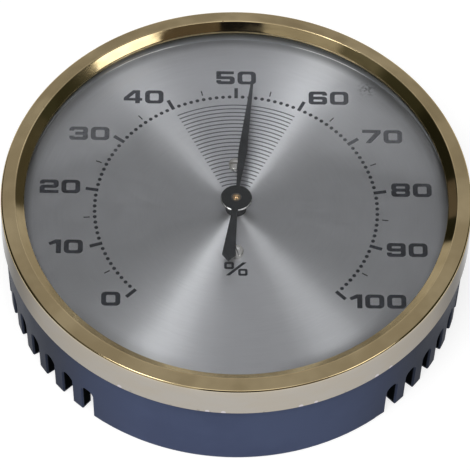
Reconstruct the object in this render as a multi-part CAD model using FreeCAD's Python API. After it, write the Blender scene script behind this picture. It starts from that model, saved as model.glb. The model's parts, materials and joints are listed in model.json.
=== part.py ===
import FreeCAD, Part
import math
import os

os.makedirs("parts", exist_ok=True)

# Hair hygrometer lying on its back. Z is the normal of the dial, the rear rim of the
# case stands on z = 0 and 12 o'clock lies along +Y. Lengths are millimetres and angles
# are degrees. Clockwise on the dial is a negative turn about Z.

# Clearances shared by all pieces
overrun = 1.0                 # how far a cutter runs past the face that it cuts
drop_in_gap = 0.15            # disc or ring laid in the neck of the case
running_gap = 0.04            # radial gap between a journal and its bore
end_play = 0.1                # axial gap of a turning piece
thread_gap = 0.05             # radial gap between a screw and its hole
wire_gap = 0.03               # gap between a taut thread and the neck that it leaves

# Case: one moulding with a slotted skirt, a recessed back wall and a neck
case_neck_radius = 50.6       # outside of the neck under the bezel
case_taper = 0.7              # how much narrower the skirt is at its rear rim
skirt_wall = 2.6
neck_wall = 1.7
ledge_width = 2.1             # step in the neck that the dial lies on
back_wall = 2.0
rim_fillet = 0.7
recess_fillet = 0.5
neck_chamfer = 0.3
slot_width = 2.9
slot_height = 9.3
slot_roof = 0.7               # case material between a slot's top and the back wall
tooth_rounding = 0.55         # rounded ends of the teeth between the slots
slot_edge = 0.3               # bevel round the outside of each slot
slot_pitch_angle = 6.8
slots_per_side = 15
slot_start_left_angle = 39.3  # first slot on each side, counted from 6 o'clock
slot_start_right_angle = 42.6
key_width = 2.0               # lug that keeps the dial from turning
key_depth = 1.2
key_gap = 0.2

# Openings in the back wall
hanger_radius = 4.0           # round part of the keyhole, where the fixing's head goes in
hanger_slot_width = 3.6
hanger_slot_length = 7.0
hanger_rim = 6.0              # distance from the keyhole's top to the recess wall
vent_width = 2.4
vent_length = 18.0
vent_pitch = 4.4
vent_web = 2.5                # wall between the outermost vent and the adjuster's hole
vent_middle = 15.0            # wall left in the middle between the two groups of vents

# Movement space and the stack of discs above it
movement_room = 9.4           # from the back wall to the underside of the dial
dial_thickness = 0.6
dial_hole_radius = 2.0
spacer_height = 2.6
gasket_height = 0.4
gasket_width = 1.7
crystal_thickness = 1.2
crystal_rise = 2.5            # how far the dome stands above the crystal's flat edge

# Bezel: spun from sheet, pushed over the neck
bezel_sheet = 0.5
bezel_gap = 0.05
bezel_band = 7.66             # height of the side band up to the front face
bezel_face_width = 3.3        # front face, from the band to the crest
bezel_face_rise = 0.62
bezel_cone_width = 1.75       # polished cone, from the crest down to the lip
bezel_cone_drop = 1.24
bezel_foot = 0.44             # upright foot of the lip, down to the crystal
bezel_edge_rounding = 0.35
bezel_crest_rounding = 0.12
neck_top_gap = 0.2            # between the neck's top and the underside of the front face

# Movement frame, bridge and their fasteners
frame_thickness = 1.0
frame_arm_width = 11.0
frame_hub_radius = 8.0
frame_ear_width = 6.0
frame_end_margin = 5.0        # frame beyond the centres of its pins and pillars
bridge_thickness = 1.0
bridge_width = 5.0
bridge_gap = 1.0              # between the back wall and the bridge
pillar_reach = 11.65          # from the shaft to each pillar and dial screw
pillar_radius = 1.9
screw_radius = 0.65
screw_grip = 3.0              # how deep a screw goes into its pillar
dial_screw_head_radius = 1.65
dial_screw_head_height = 1.25
dial_screw_crown = 0.28       # rise of the head's domed top
dial_screw_rounding = 0.25
dial_screw_turn = 107.0       # how far the lower screw's slot is turned from the X axis
bridge_screw_head_radius = 1.6
bridge_screw_head_height = 0.7
screw_slot_width = 0.45
screw_slot_depth = 0.45

# Hair, its ends and the threads
hair_plane_share = 0.44       # height of the hair between bridge and frame
hair_radius = 0.45
thread_radius = 0.13
ferrule_radius = 0.8
ferrule_length = 3.0
ferrule_grip = 2.0            # length of bundle inside a ferrule
shaft_thread_length = 7.0     # thread between the shaft and its ferrule
peg_thread_length = 6.0       # thread between the peg and its ferrule
winding_height = 0.85
winding_lift = 0.05           # between the straight thread and the turns above it

# Pointer shaft and its bearings
neck_radius = 0.35            # neck that the thread winds on
neck_length = 2.2
shaft_shoulder_radius = 0.9
shaft_flange = 0.4
pivot_radius = 0.5
journal_radius = 0.75
bush_wall = 0.9
bush_flange_radius = 2.4
bush_flange = 0.6
rear_bush_radius = 1.3
rear_bush_stand = 0.1         # how far the rear bush stands proud of the bridge
collet_radius = 1.6

# Hairspring: a flat spiral from the collet to a stud on the frame
spring_thickness = 0.15
spring_height = 0.6
spring_pitch = 0.9
spring_half_turns = 8
spring_collet_gap = 0.1
stud_radius = 0.6
stud_tail = 0.2               # how far the stud reaches below the spring

# Guide roller at the +X end
roller_inset = 13.8           # from the wall of the movement space to the roller's pin
roller_groove_gap = 0.05      # between the bundle and the bottom of the groove
hair_bend_radius = 3.0        # middle line of the bundle on the roller
roller_rim = 0.9              # roller rim beyond the middle line of the bundle
roller_groove_width = 1.2
roller_pin_radius = 0.8
roller_shoulder_radius = 1.7
roller_rivet_radius = 1.2
clip_thickness = 0.4
clip_radius = 1.9
clip_groove_radius = 0.55
clip_opening = 0.9
pin_tail = 0.5                # pin below the clip

# Adjuster peg at the -X end
peg_inset = 13.8              # from the wall of the movement space to the peg
peg_neck_radius = 0.8
peg_stem_radius = 1.5
peg_flange = 0.6
peg_journal_radius = 1.0
peg_collar_radius = 3.3
peg_collar = 0.8
peg_collar_lift = 0.35        # between the collar and the back wall
peg_tip_radius = 2.2
peg_tip_margin = 1.1          # how deep the tip lies inside the back wall's hole
peg_slot_width = 0.6
peg_slot_depth = 0.9
access_gap = 0.5              # radial gap round the peg's tip
washer_height = 0.35
washer_thickness = 0.15
washer_radius = 2.2
adjuster_bush_radius = 1.8
adjuster_flange_radius = 2.6
adjuster_bush_inset = 0.1     # how far the bush stops short of the dial

# Pointer: one stamped sheet on a collar, with a brass cap over the shaft's end
pointer_hub_radius = 3.4
pointer_sheet = 0.35
pointer_turn = 6.21           # clockwise from 12 o'clock, a reading of 52.3
pointer_droop_angle = 0.7     # blade and tail dip slightly towards their ends
pointer_lift = 3.95           # underside of the sheet above the dial
arm_root_gap = 0.05           # between the boss and the root of the blade or tail
blade_inset = 16.95           # from the dial's edge to the blade's tip
blade_belly = 12.5            # distance from the shaft to the blade's widest place
blade_neck_width = 0.75
blade_belly_width = 1.9
blade_tip_width = 0.6
tail_length = 16.6
tail_point = 1.55             # length of the arrow point that ends the tail
tail_neck_width = 1.15
tail_end_width = 2.9
hub_edge_width = 0.2          # worn edge of the stamped hub
hub_edge_depth = 0.1
boss_radius = 2.3
boss_flare_radius = 2.9       # head of the boss, which the sheet is riveted on
boss_flare = 0.6
boss_lift = 0.4               # between the boss and the dial
spigot_radius = 1.25
spigot_stand = 0.05           # how far the spigot stands above the sheet
cap_radius = 0.85
cap_flange_radius = 1.15
cap_flange = 0.12
cap_height = 0.5
cap_depth = 1.2               # how deep the cap's stem sits in the boss

# Heights worked out from the sizes above
recess_top = slot_height + slot_roof
floor_top = recess_top + back_wall
dial_seat = floor_top + movement_room
dial_top = dial_seat + dial_thickness
spacer_top = dial_top + spacer_height
gasket_top = spacer_top + gasket_height
crystal_edge_top = gasket_top + crystal_thickness
lip_height = crystal_edge_top + bezel_foot
crest_height = lip_height + bezel_cone_drop
shoulder_height = crest_height - bezel_face_rise
band_low = shoulder_height - bezel_band
neck_top = shoulder_height - bezel_sheet - neck_top_gap
frame_low = dial_seat - frame_thickness
bridge_low = floor_top + bridge_gap
bridge_top = bridge_low + bridge_thickness
hair_height = bridge_top + hair_plane_share * (frame_low - bridge_top)
track_low = hair_height - neck_length / 2
track_high = hair_height + neck_length / 2
front_bush_low = frame_low - bush_flange
collet_low = track_high + shaft_flange
collet_high = front_bush_low - end_play
spring_low = (collet_low + collet_high - spring_height) / 2
sheet_low = dial_top + pointer_lift
sheet_high = sheet_low + pointer_sheet

# Radii worked out from the sizes above
case_rim_radius = case_neck_radius - case_taper
recess_radius = case_rim_radius - skirt_wall
seat_radius = case_neck_radius - neck_wall
cavity_radius = seat_radius - ledge_width
disc_radius = seat_radius - drop_in_gap
bezel_inner_radius = case_neck_radius + bezel_gap
bezel_radius = bezel_inner_radius + bezel_sheet
crest_radius = bezel_radius - bezel_face_width
lip_radius = crest_radius - bezel_cone_width
tap_radius = screw_radius + thread_gap
front_bush_radius = journal_radius + bush_wall
access_radius = peg_tip_radius + access_gap
blade_length = disc_radius - blade_inset
peg_reach = cavity_radius - peg_inset
roller_reach = cavity_radius - roller_inset

# Places in plan worked out from the hair's run: it leaves the shaft towards +X, turns
# back round the roller and ends at the peg
shaft_pull_radius = neck_radius + wire_gap + thread_radius
peg_pull_radius = peg_neck_radius + wire_gap + thread_radius
lower_run = -shaft_pull_radius
roller_y = lower_run + hair_bend_radius
upper_run = roller_y + hair_bend_radius
peg_y = upper_run - peg_pull_radius
groove_radius = hair_bend_radius - hair_radius - roller_groove_gap
hanger_y = recess_radius - hanger_rim - hanger_slot_length

match_share = 1e-6            # share of the neck's radius within which two circles match

ORIGIN = FreeCAD.Vector(0, 0, 0)
UP = FreeCAD.Vector(0, 0, 1)
EAST = FreeCAD.Vector(1, 0, 0)
FULL_TURN = 360
HALF_TURN = 180
QUARTER_TURN = 90


def point(x, y, z=0):
    return FreeCAD.Vector(x, y, z)


def cylinder(radius, low, high, x=0, y=0):
    """Upright cylinder between two heights."""
    return Part.makeCylinder(radius, high - low, point(x, y, low))


def ring(outer, inner, low, high, x=0, y=0):
    """Flat ring between two heights."""
    hole = cylinder(inner, low - overrun, high + overrun, x, y)
    return cylinder(outer, low, high, x, y).cut(hole)


def block(x_range, y_range, z_range):
    """Box between two places on each axis."""
    corner = point(x_range[0], y_range[0], z_range[0])
    sides = [high - low for low, high in (x_range, y_range, z_range)]
    return Part.makeBox(*sides, corner)


def turned(outline, x=0, y=0):
    """Solid of revolution from (radius, height) points or from edges in the XZ plane."""
    if isinstance(outline[0], tuple):
        corners = [point(radius, 0, height) for radius, height in outline]
        wire = Part.makePolygon(corners + corners[:1])
    else:
        wire = Part.Wire(outline)
    solid = Part.Face(wire).revolve(ORIGIN, UP, FULL_TURN)
    if solid.Volume < 0:
        solid.reverse()
    solid.translate(point(x, y))
    return solid


def spindle(steps, x=0, y=0):
    """Turned spindle from (radius, low, high) steps that stand on each other."""
    outline = [(0, steps[0][1])]
    for radius, low, high in steps:
        outline += [(radius, low), (radius, high)]
    outline.append((0, steps[-1][2]))
    return turned(outline, x, y)


def prism(outline, low, high):
    """Upright prism from (x, y) points."""
    corners = [point(x, y, low) for x, y in outline]
    face = Part.Face(Part.makePolygon(corners + corners[:1]))
    return face.extrude(UP * (high - low))


def obround(start, end, width, low, high):
    """Upright slot-shaped solid between the centres of its two round ends."""
    half = width / 2
    middle = cylinder(half, low, high, *start).fuse(cylinder(half, low, high, *end))
    run = point(*end) - point(*start)
    side = point(-run.y, run.x) / run.Length * half
    corners = [point(*start) + side, point(*end) + side, point(*end) - side, point(*start) - side]
    return middle.fuse(prism([(c.x, c.y) for c in corners], low, high)).removeSplitter()


def circle_edges(solid, radius, height):
    """Full circles about Z with the given radius and height."""
    found = []
    for edge in solid.Edges:
        if edge.Degenerated or not isinstance(edge.Curve, Part.Circle):
            continue
        miss = (edge.Curve.Center - point(0, 0, height)).Length + abs(edge.Curve.Radius - radius)
        if miss < match_share * case_neck_radius:
            found.append(edge)
    return found


def rounded(solid, size, *rings):
    """Fillet the circles given as (radius, height) pairs."""
    edges = [edge for radius, height in rings for edge in circle_edges(solid, radius, height)]
    return solid.makeFillet(size, edges)


def chamfered(solid, size, *rings):
    """Chamfer the circles given as (radius, height) pairs."""
    edges = [edge for radius, height in rings for edge in circle_edges(solid, radius, height)]
    return solid.makeChamfer(size, edges)


def sheet_outline(outside, thickness):
    """Closed outline of a sheet from the points of its outside face.

    The inside face runs at the sheet's thickness to the left of the direction in which
    the points go, with mitred corners."""
    inside = []
    last = len(outside) - 1
    for index, (radius, height) in enumerate(outside):
        normals = []
        for first in (index - 1, index):
            if 0 <= first < last:
                run = point(*outside[first + 1]) - point(*outside[first])
                normals.append(point(-run.y, run.x) / run.Length)
        mitre = sum(normals[1:], normals[0])
        reach = thickness / (mitre.Length / len(normals)) / mitre.Length
        inside.append((radius + mitre.x * reach, height + mitre.y * reach))
    return outside + inside[::-1]


def save(name, *solids):
    """Write one node, as a solid or as a group of separate solids."""
    shape = solids[0] if len(solids) == 1 else Part.makeCompound(solids)
    shape.exportStep(os.path.join("parts", name + ".step"))


def slot_outline(half, place):
    """Outline of a skirt slot from half its width, on the plane that place gives."""
    mouth = half + tooth_rounding
    inset = tooth_rounding * (1 - math.sqrt(2) / 2)
    top = slot_height - slot_width / 2
    left_arc = Part.Arc(place(-mouth, 0), place(-half - inset, inset),
                        place(-half, tooth_rounding))
    roof_arc = Part.Arc(place(-half, top), place(0, top + half), place(half, top))
    right_arc = Part.Arc(place(half, tooth_rounding), place(half + inset, inset), place(mouth, 0))
    edges = [
        Part.makeLine(place(-mouth, -overrun), place(-mouth, 0)),
        left_arc.toShape(),
        Part.makeLine(place(-half, tooth_rounding), place(-half, top)),
        roof_arc.toShape(),
        Part.makeLine(place(half, top), place(half, tooth_rounding)),
        right_arc.toShape(),
        Part.makeLine(place(mouth, 0), place(mouth, -overrun)),
        Part.makeLine(place(mouth, -overrun), place(-mouth, -overrun)),
    ]
    return Part.Wire(edges)


def skirt_slot(clock):
    """Cutter of one skirt slot: round top, a mouth that rounds the teeth's ends, and the
    bevel round its outside, which follows the skirt's taper."""
    start = recess_radius - overrun
    half = slot_width / 2

    def upright(across, height):
        return point(start, across, height)

    def under_skirt(depth):
        return lambda across, height: point(
            case_rim_radius + case_taper * height / band_low - depth, across, height)

    reach = case_neck_radius + overrun - start
    slot = Part.Face(slot_outline(half, upright)).extrude(EAST * reach)
    wedge = Part.makeLoft([slot_outline(half - slot_edge, under_skirt(2 * slot_edge)),
                           slot_outline(half + 2 * slot_edge, under_skirt(-slot_edge))],
                          True, True)
    cutter = slot.fuse(wedge)
    cutter.rotate(ORIGIN, UP, clock - QUARTER_TURN)
    return cutter


def slot_cutters():
    """Two groups of slots that leave the skirt solid at 6 and 12 o'clock."""
    cutters = []
    for index in range(slots_per_side):
        step = index * slot_pitch_angle
        cutters.append(skirt_slot(-slot_start_left_angle - step))
        cutters.append(skirt_slot(slot_start_right_angle + step))
    return cutters


def hanger_cutter():
    """Keyhole at 12 o'clock of the back wall."""
    low = recess_top - overrun
    high = floor_top + overrun
    slot = obround((0, hanger_y), (0, hanger_y + hanger_slot_length - hanger_slot_width / 2),
                   hanger_slot_width, low, high)
    return cylinder(hanger_radius, low, high, 0, hanger_y).fuse(slot)


def vent_cutters():
    """Rows of slots in the back wall that let room air reach the hair."""
    low = recess_top - overrun
    high = floor_top + overrun
    half_run = (vent_length - vent_width) / 2
    outermost = peg_reach - access_radius - vent_web - vent_width / 2
    innermost = (vent_middle + vent_width) / 2
    cutters = []
    for index in range(1 + int((outermost - innermost) / vent_pitch)):
        for side in (-1, 1):
            x = side * (outermost - index * vent_pitch)
            cutters.append(obround((x, -half_run), (x, half_run), vent_width, low, high))
    return cutters


def make_rear_case():
    """Moulded case: skirt, back wall, ledge for the dial and neck for the bezel."""
    shell = turned([
        (recess_radius, 0), (case_rim_radius, 0), (case_neck_radius, band_low),
        (case_neck_radius, neck_top), (seat_radius, neck_top), (seat_radius, dial_seat),
        (cavity_radius, dial_seat), (cavity_radius, floor_top), (0, floor_top),
        (0, recess_top), (recess_radius, recess_top)])
    shell = rounded(shell, rim_fillet, (case_rim_radius, 0))
    shell = rounded(shell, recess_fillet, (recess_radius, recess_top), (cavity_radius, floor_top))
    shell = chamfered(shell, neck_chamfer, (case_neck_radius, neck_top), (seat_radius, neck_top))
    access = cylinder(access_radius, recess_top - overrun, floor_top + overrun, -peg_reach, peg_y)
    cutters = slot_cutters() + vent_cutters() + [hanger_cutter(), access]
    shell = shell.cut(cutters)
    key = block((-key_width / 2, key_width / 2), (-seat_radius - neck_wall / 2, key_depth - seat_radius),
                (dial_seat, dial_top))
    return shell.fuse(key).removeSplitter()


def make_bezel():
    """Spun ring: side band, gently coned face, crest, polished cone and upright foot."""
    outside = [
        (bezel_radius, band_low), (bezel_radius, shoulder_height), (crest_radius, crest_height),
        (lip_radius, lip_height), (lip_radius, crystal_edge_top)]
    bezel = turned(sheet_outline(outside, bezel_sheet))
    bezel = rounded(bezel, bezel_edge_rounding, (bezel_radius, shoulder_height))
    return rounded(bezel, bezel_crest_rounding, (crest_radius, crest_height),
                   (lip_radius, lip_height))


def dome_arc(edge_height, edge_radius, rise):
    """Arc in the XZ plane from a dome's edge to its middle, and the middle point."""
    sphere = (edge_radius ** 2 + rise ** 2) / (2 * rise)
    centre = edge_height + rise - sphere
    half_angle = math.asin(edge_radius / sphere) / 2
    between = point(sphere * math.sin(half_angle), 0, centre + sphere * math.cos(half_angle))
    middle = point(0, 0, edge_height + rise)
    return Part.Arc(point(edge_radius, 0, edge_height), between, middle).toShape(), middle


def make_crystal():
    """Clear meniscus with a flat edge that the bezel's foot and the gasket hold."""
    top_arc, top_middle = dome_arc(crystal_edge_top, lip_radius, crystal_rise)
    low_arc, low_middle = dome_arc(gasket_top, lip_radius, crystal_rise)
    outline = [
        Part.makeLine(point(lip_radius, 0, gasket_top), point(disc_radius, 0, gasket_top)),
        Part.makeLine(point(disc_radius, 0, gasket_top), point(disc_radius, 0, crystal_edge_top)),
        Part.makeLine(point(disc_radius, 0, crystal_edge_top),
                      point(lip_radius, 0, crystal_edge_top)),
        top_arc,
        Part.makeLine(top_middle, low_middle),
        low_arc,
    ]
    return turned(outline)


def make_dial():
    """Thin disc with holes for the shaft and two screws, and a notch for the key."""
    dial = cylinder(disc_radius, dial_seat, dial_top)
    low = dial_seat - overrun
    high = dial_top + overrun
    holes = [cylinder(dial_hole_radius, low, high)]
    for side in (-1, 1):
        holes.append(cylinder(tap_radius, low, high, 0, side * pillar_reach))
    notch_half = key_width / 2 + key_gap
    notch = block((-notch_half, notch_half),
                  (-seat_radius - overrun, key_depth + key_gap - seat_radius), (low, high))
    return dial.cut(holes + [notch])


def dome(radius, height, low):
    """Round dome about Z that stands on a height."""
    arc, top = dome_arc(low, radius, height)
    foot = point(0, 0, low)
    return turned([Part.makeLine(foot, point(radius, 0, low)), arc, Part.makeLine(top, foot)])


def make_dial_screws():
    """Two round-topped screws that hold dial and frame together on the pillars."""
    head_top = dial_top + dial_screw_head_height
    wall_top = head_top - dial_screw_crown
    wall = cylinder(dial_screw_head_radius, dial_top, wall_top)
    crown = dome(dial_screw_head_radius, dial_screw_crown, wall_top)
    head = wall.fuse(crown).removeSplitter()
    head = rounded(head, dial_screw_rounding, (dial_screw_head_radius, wall_top))
    slot = block((-dial_screw_head_radius - overrun, dial_screw_head_radius + overrun),
                 (-screw_slot_width / 2, screw_slot_width / 2),
                 (head_top - screw_slot_depth, head_top + overrun))
    shank = cylinder(screw_radius, frame_low - screw_grip, dial_top)
    screw = head.cut(slot).fuse(shank).removeSplitter()
    lower = screw.rotated(ORIGIN, UP, dial_screw_turn)
    return [lower.translated(point(0, -pillar_reach)), screw.translated(point(0, pillar_reach))]


def make_bridge_screws():
    """Two cheese-head screws that hold the bridge on the pillars."""
    screws = []
    head_low = bridge_low - bridge_screw_head_height
    for side in (-1, 1):
        y = side * pillar_reach
        screw = spindle([(bridge_screw_head_radius, head_low, bridge_low),
                         (screw_radius, bridge_low, bridge_top + screw_grip)], 0, y)
        slot = block((-bridge_screw_head_radius - overrun, bridge_screw_head_radius + overrun),
                     (y - screw_slot_width / 2, y + screw_slot_width / 2),
                     (head_low - overrun, head_low + bridge_screw_head_height / 2))
        screws.append(screw.cut(slot))
    return screws


def make_movement_frame():
    """Cross-shaped plate under the dial, with holes for its bushes, pins and screws."""
    low, high = frame_low, dial_seat
    middle = (upper_run + lower_run) / 2
    arm = obround((-peg_reach, middle), (roller_reach, middle), frame_arm_width, low, high)
    reach = pillar_reach + frame_end_margin - frame_ear_width / 2
    ears = obround((0, -reach), (0, reach), frame_ear_width, low, high)
    plate = cylinder(frame_hub_radius, low, high).fuse([arm, ears]).removeSplitter()
    cut_low = low - overrun
    cut_high = high + overrun
    holes = [
        cylinder(front_bush_radius, cut_low, cut_high),
        cylinder(roller_rivet_radius, cut_low, cut_high, roller_reach, roller_y),
        cylinder(adjuster_bush_radius, cut_low, cut_high, -peg_reach, peg_y),
    ]
    for side in (-1, 1):
        holes.append(cylinder(tap_radius, cut_low, cut_high, 0, side * pillar_reach))
    return plate.cut(holes)


def make_pillars():
    """Two threaded pillars between the bridge and the frame."""
    return [ring(pillar_radius, tap_radius, bridge_top, frame_low, 0, side * pillar_reach)
            for side in (-1, 1)]


def make_bearing_bridge():
    """Strip along Y that carries the rear bush."""
    strip = obround((0, -pillar_reach), (0, pillar_reach), bridge_width, bridge_low, bridge_top)
    cut_low = bridge_low - overrun
    cut_high = bridge_top + overrun
    holes = [cylinder(rear_bush_radius, cut_low, cut_high)]
    for side in (-1, 1):
        holes.append(cylinder(tap_radius, cut_low, cut_high, 0, side * pillar_reach))
    return strip.cut(holes)


def make_front_bush():
    """Flanged bush in the frame."""
    body = spindle([(bush_flange_radius, front_bush_low, frame_low),
                    (front_bush_radius, frame_low, dial_seat)])
    return body.cut(cylinder(journal_radius + running_gap, front_bush_low - overrun,
                             dial_seat + overrun))


def make_rear_bush():
    """Plain bush in the bridge, a little proud of it on both sides."""
    return ring(rear_bush_radius, pivot_radius + running_gap,
                bridge_low - rear_bush_stand, bridge_top + rear_bush_stand)


def make_pointer_shaft():
    """Turned shaft: rear pivot, winding neck, flange and long front journal."""
    return spindle([
        (pivot_radius, bridge_low, bridge_top + rear_bush_stand + end_play),
        (shaft_shoulder_radius, bridge_top + rear_bush_stand + end_play, track_low),
        (neck_radius, track_low, track_high),
        (shaft_shoulder_radius, track_high, collet_low),
        (journal_radius, collet_low, sheet_high - cap_depth),
    ])


def make_collet():
    """Ring that grips the shaft and the inner end of the hairspring."""
    return ring(collet_radius, journal_radius, collet_low, collet_high)


def make_hairspring():
    """Flat spiral of half-turn arcs whose centres alternate, so that it opens evenly."""
    first = collet_radius + spring_collet_gap + spring_thickness / 2
    half = spring_thickness / 2
    inner = []
    outer = []
    for index in range(spring_half_turns):
        radius = first + index * spring_pitch / 2
        centre = 0 if index % 2 == 0 else spring_pitch / 2
        sign = 1 if index % 2 == 0 else -1
        for offset, edges in ((-half, inner), (half, outer)):
            reach = radius + offset
            edges.append(Part.Arc(point(centre + sign * reach, 0), point(centre, sign * reach),
                                  point(centre - sign * reach, 0)).toShape())
    end = first + spring_half_turns * spring_pitch / 2
    caps = [Part.makeLine(point(first - half, 0), point(first + half, 0)),
            Part.makeLine(point(end - half, 0), point(end + half, 0))]
    wire = Part.Wire(Part.__sortEdges__(inner + outer + caps))
    spring = Part.Face(wire).extrude(UP * spring_height)
    spring.translate(UP * spring_low)
    return spring, end


def make_hairspring_stud(end):
    """Post under the frame whose slit takes the outer end of the hairspring."""
    y = stud_radius / 2
    post = cylinder(stud_radius, spring_low - stud_tail, frame_low, end, y)
    half = spring_thickness / 2 + thread_gap
    slit = block((end - half, end + half), (y - stud_radius - overrun, thread_gap),
                 (spring_low - stud_tail - overrun, spring_low + spring_height + thread_gap))
    return post.cut(slit)


def make_hair_bundle():
    """Round bundle: straight run, half turn round the roller, straight run back."""
    low_start = point(shaft_thread_length + ferrule_length - ferrule_grip, lower_run, hair_height)
    low_end = point(roller_reach, lower_run, hair_height)
    turn = point(roller_reach + hair_bend_radius, roller_y, hair_height)
    high_start = point(roller_reach, upper_run, hair_height)
    high_end = point(peg_thread_length + ferrule_length - ferrule_grip - peg_reach, upper_run,
                     hair_height)
    path = Part.Wire([Part.makeLine(low_start, low_end),
                      Part.Arc(low_end, turn, high_start).toShape(),
                      Part.makeLine(high_start, high_end)])
    section = Part.Wire(Part.makeCircle(hair_radius, low_start, EAST))
    return path.makePipeShell([section], True, False)


def rod(radius, x_low, x_high, y):
    """Round rod along X at the height of the hair."""
    return Part.makeCylinder(radius, x_high - x_low, point(x_low, y, hair_height), EAST)


def make_ferrules():
    """Two crimped tubes, wide at the bundle's side and narrow at the thread's side."""
    near = rod(ferrule_radius, shaft_thread_length, shaft_thread_length + ferrule_length, lower_run)
    near = near.cut([
        rod(hair_radius, shaft_thread_length + ferrule_length - ferrule_grip,
            shaft_thread_length + ferrule_length + overrun, lower_run),
        rod(thread_radius, shaft_thread_length - overrun,
            shaft_thread_length + ferrule_length, lower_run)])
    start = peg_thread_length - peg_reach
    far = rod(ferrule_radius, start, start + ferrule_length, upper_run)
    far = far.cut([
        rod(hair_radius, start + ferrule_length - ferrule_grip, start + ferrule_length + overrun,
            upper_run),
        rod(thread_radius, start - overrun, start + ferrule_length, upper_run)])
    return [near, far]


def make_link_threads():
    """Two taut threads, from the shaft and from the peg to the ferrules."""
    plug = ferrule_length - ferrule_grip
    return [rod(thread_radius, 0, shaft_thread_length + plug, lower_run),
            rod(thread_radius, -peg_reach, peg_thread_length + plug - peg_reach, upper_run)]


def make_winding(radius, x, y):
    """Turns of thread on a neck, above the place where the straight thread leaves it."""
    low = hair_height + thread_radius + winding_lift
    return ring(radius + 2 * thread_radius, radius, low, low + winding_height, x, y)


def make_guide_roller():
    """Grooved roller that turns freely on its pin."""
    rim = hair_bend_radius + roller_rim
    half = roller_groove_width / 2
    bore = roller_pin_radius + running_gap
    return turned([
        (bore, track_low), (rim, track_low), (rim, hair_height - half),
        (groove_radius, hair_height - half), (groove_radius, hair_height + half),
        (rim, hair_height + half), (rim, track_high), (bore, track_high)],
        roller_reach, roller_y)


def make_roller_pin():
    """Shouldered pin, riveted in the frame and grooved for the clip."""
    clip_high = track_low - end_play
    clip_low = clip_high - clip_thickness
    return spindle([
        (roller_pin_radius, clip_low - pin_tail, clip_low),
        (clip_groove_radius, clip_low, clip_high),
        (roller_pin_radius, clip_high, track_high + end_play),
        (roller_shoulder_radius, track_high + end_play, frame_low),
        (roller_rivet_radius, frame_low, dial_seat)],
        roller_reach, roller_y)


def make_roller_clip():
    """Open clip in the pin's groove."""
    high = track_low - end_play
    low = high - clip_thickness
    clip = ring(clip_radius, clip_groove_radius, low, high, roller_reach, roller_y)
    mouth = block((roller_reach - clip_opening / 2, roller_reach + clip_opening / 2),
                  (roller_y - clip_radius - overrun, roller_y),
                  (low - overrun, high + overrun))
    return clip.cut(mouth)


def make_adjuster_peg():
    """Slotted peg: tip in the back wall's hole, collar, stem, winding neck and journal."""
    tip_low = recess_top + peg_tip_margin
    collar_low = floor_top + peg_collar_lift
    collar_high = collar_low + peg_collar
    flange_high = track_high + peg_flange
    peg = spindle([
        (peg_tip_radius, tip_low, collar_low),
        (peg_collar_radius, collar_low, collar_high),
        (peg_stem_radius, collar_high, track_low),
        (peg_neck_radius, track_low, track_high),
        (peg_stem_radius, track_high, flange_high),
        (peg_journal_radius, flange_high, dial_seat - adjuster_bush_inset)],
        -peg_reach, peg_y)
    slot = block((-peg_reach - peg_tip_radius - overrun, overrun + peg_tip_radius - peg_reach),
                 (peg_y - peg_slot_width / 2, peg_y + peg_slot_width / 2),
                 (tip_low - overrun, tip_low + peg_slot_depth))
    return peg.cut(slot)


def make_friction_washer():
    """Dished washer between the peg's flange and its bush."""
    low = track_high + peg_flange + running_gap
    high = low + washer_height
    bore = peg_journal_radius + running_gap
    return turned([(bore, high - washer_thickness), (washer_radius, low),
                   (washer_radius, low + washer_thickness), (bore, high)],
                  -peg_reach, peg_y)


def make_adjuster_bush():
    """Flanged bush of the peg in the frame."""
    low = track_high + peg_flange + running_gap + washer_height
    body = spindle([(adjuster_flange_radius, low, frame_low),
                    (adjuster_bush_radius, frame_low, dial_seat - adjuster_bush_inset)],
                   -peg_reach, peg_y)
    return body.cut(cylinder(peg_journal_radius + running_gap, low - overrun,
                             dial_seat + overrun, -peg_reach, peg_y))


def pointer_arm(half_outline):
    """Flat arm along Y that dips towards its end, from the points of its right half."""
    mirrored = [(-x, y) for x, y in reversed(half_outline) if x > 0]
    arm = prism(half_outline + mirrored, sheet_low, sheet_high)
    arm.rotate(point(0, half_outline[0][1], sheet_high), EAST, -pointer_droop_angle)
    return arm


def make_pointer_blade():
    """Stamped pointer: round hub, tapering blade and arrow-shaped tail."""
    root = boss_flare_radius + arm_root_gap
    neck, belly, tip = blade_neck_width / 2, blade_belly_width / 2, blade_tip_width / 2
    blade = pointer_arm([(neck, root), (neck, pointer_hub_radius), (belly, blade_belly),
                         (tip, blade_length)])
    neck, end = tail_neck_width / 2, tail_end_width / 2
    tail = pointer_arm([(neck, root), (neck, pointer_hub_radius),
                        (end, tail_length - tail_point), (0, tail_length)])
    tail.rotate(ORIGIN, UP, HALF_TURN)
    hub = turned([
        (0, sheet_low), (pointer_hub_radius, sheet_low),
        (pointer_hub_radius, sheet_high - hub_edge_depth),
        (pointer_hub_radius - hub_edge_width, sheet_high), (0, sheet_high)])
    sheet = hub.fuse([blade, tail])
    sheet = sheet.cut(cylinder(spigot_radius, sheet_low - overrun, sheet_high + overrun))
    sheet.rotate(ORIGIN, UP, -pointer_turn)
    return sheet


def make_pointer_boss():
    """Collar under the pointer, with a spigot that the sheet is riveted on."""
    boss_low = dial_top + boss_lift
    body = spindle([
        (boss_radius, boss_low, sheet_low - boss_flare),
        (boss_flare_radius, sheet_low - boss_flare, sheet_low),
        (spigot_radius, sheet_low, sheet_high + spigot_stand)])
    return body.cut(cylinder(journal_radius, boss_low - overrun, sheet_high + overrun))


def make_pointer_cap():
    """Small domed cap whose stem fills the boss above the shaft's end."""
    top = sheet_high + spigot_stand
    stem = spindle([(journal_radius, sheet_high - cap_depth, top),
                    (cap_flange_radius, top, top + cap_flange)])
    return stem.fuse(dome(cap_radius, cap_height, top + cap_flange)).removeSplitter()


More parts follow.
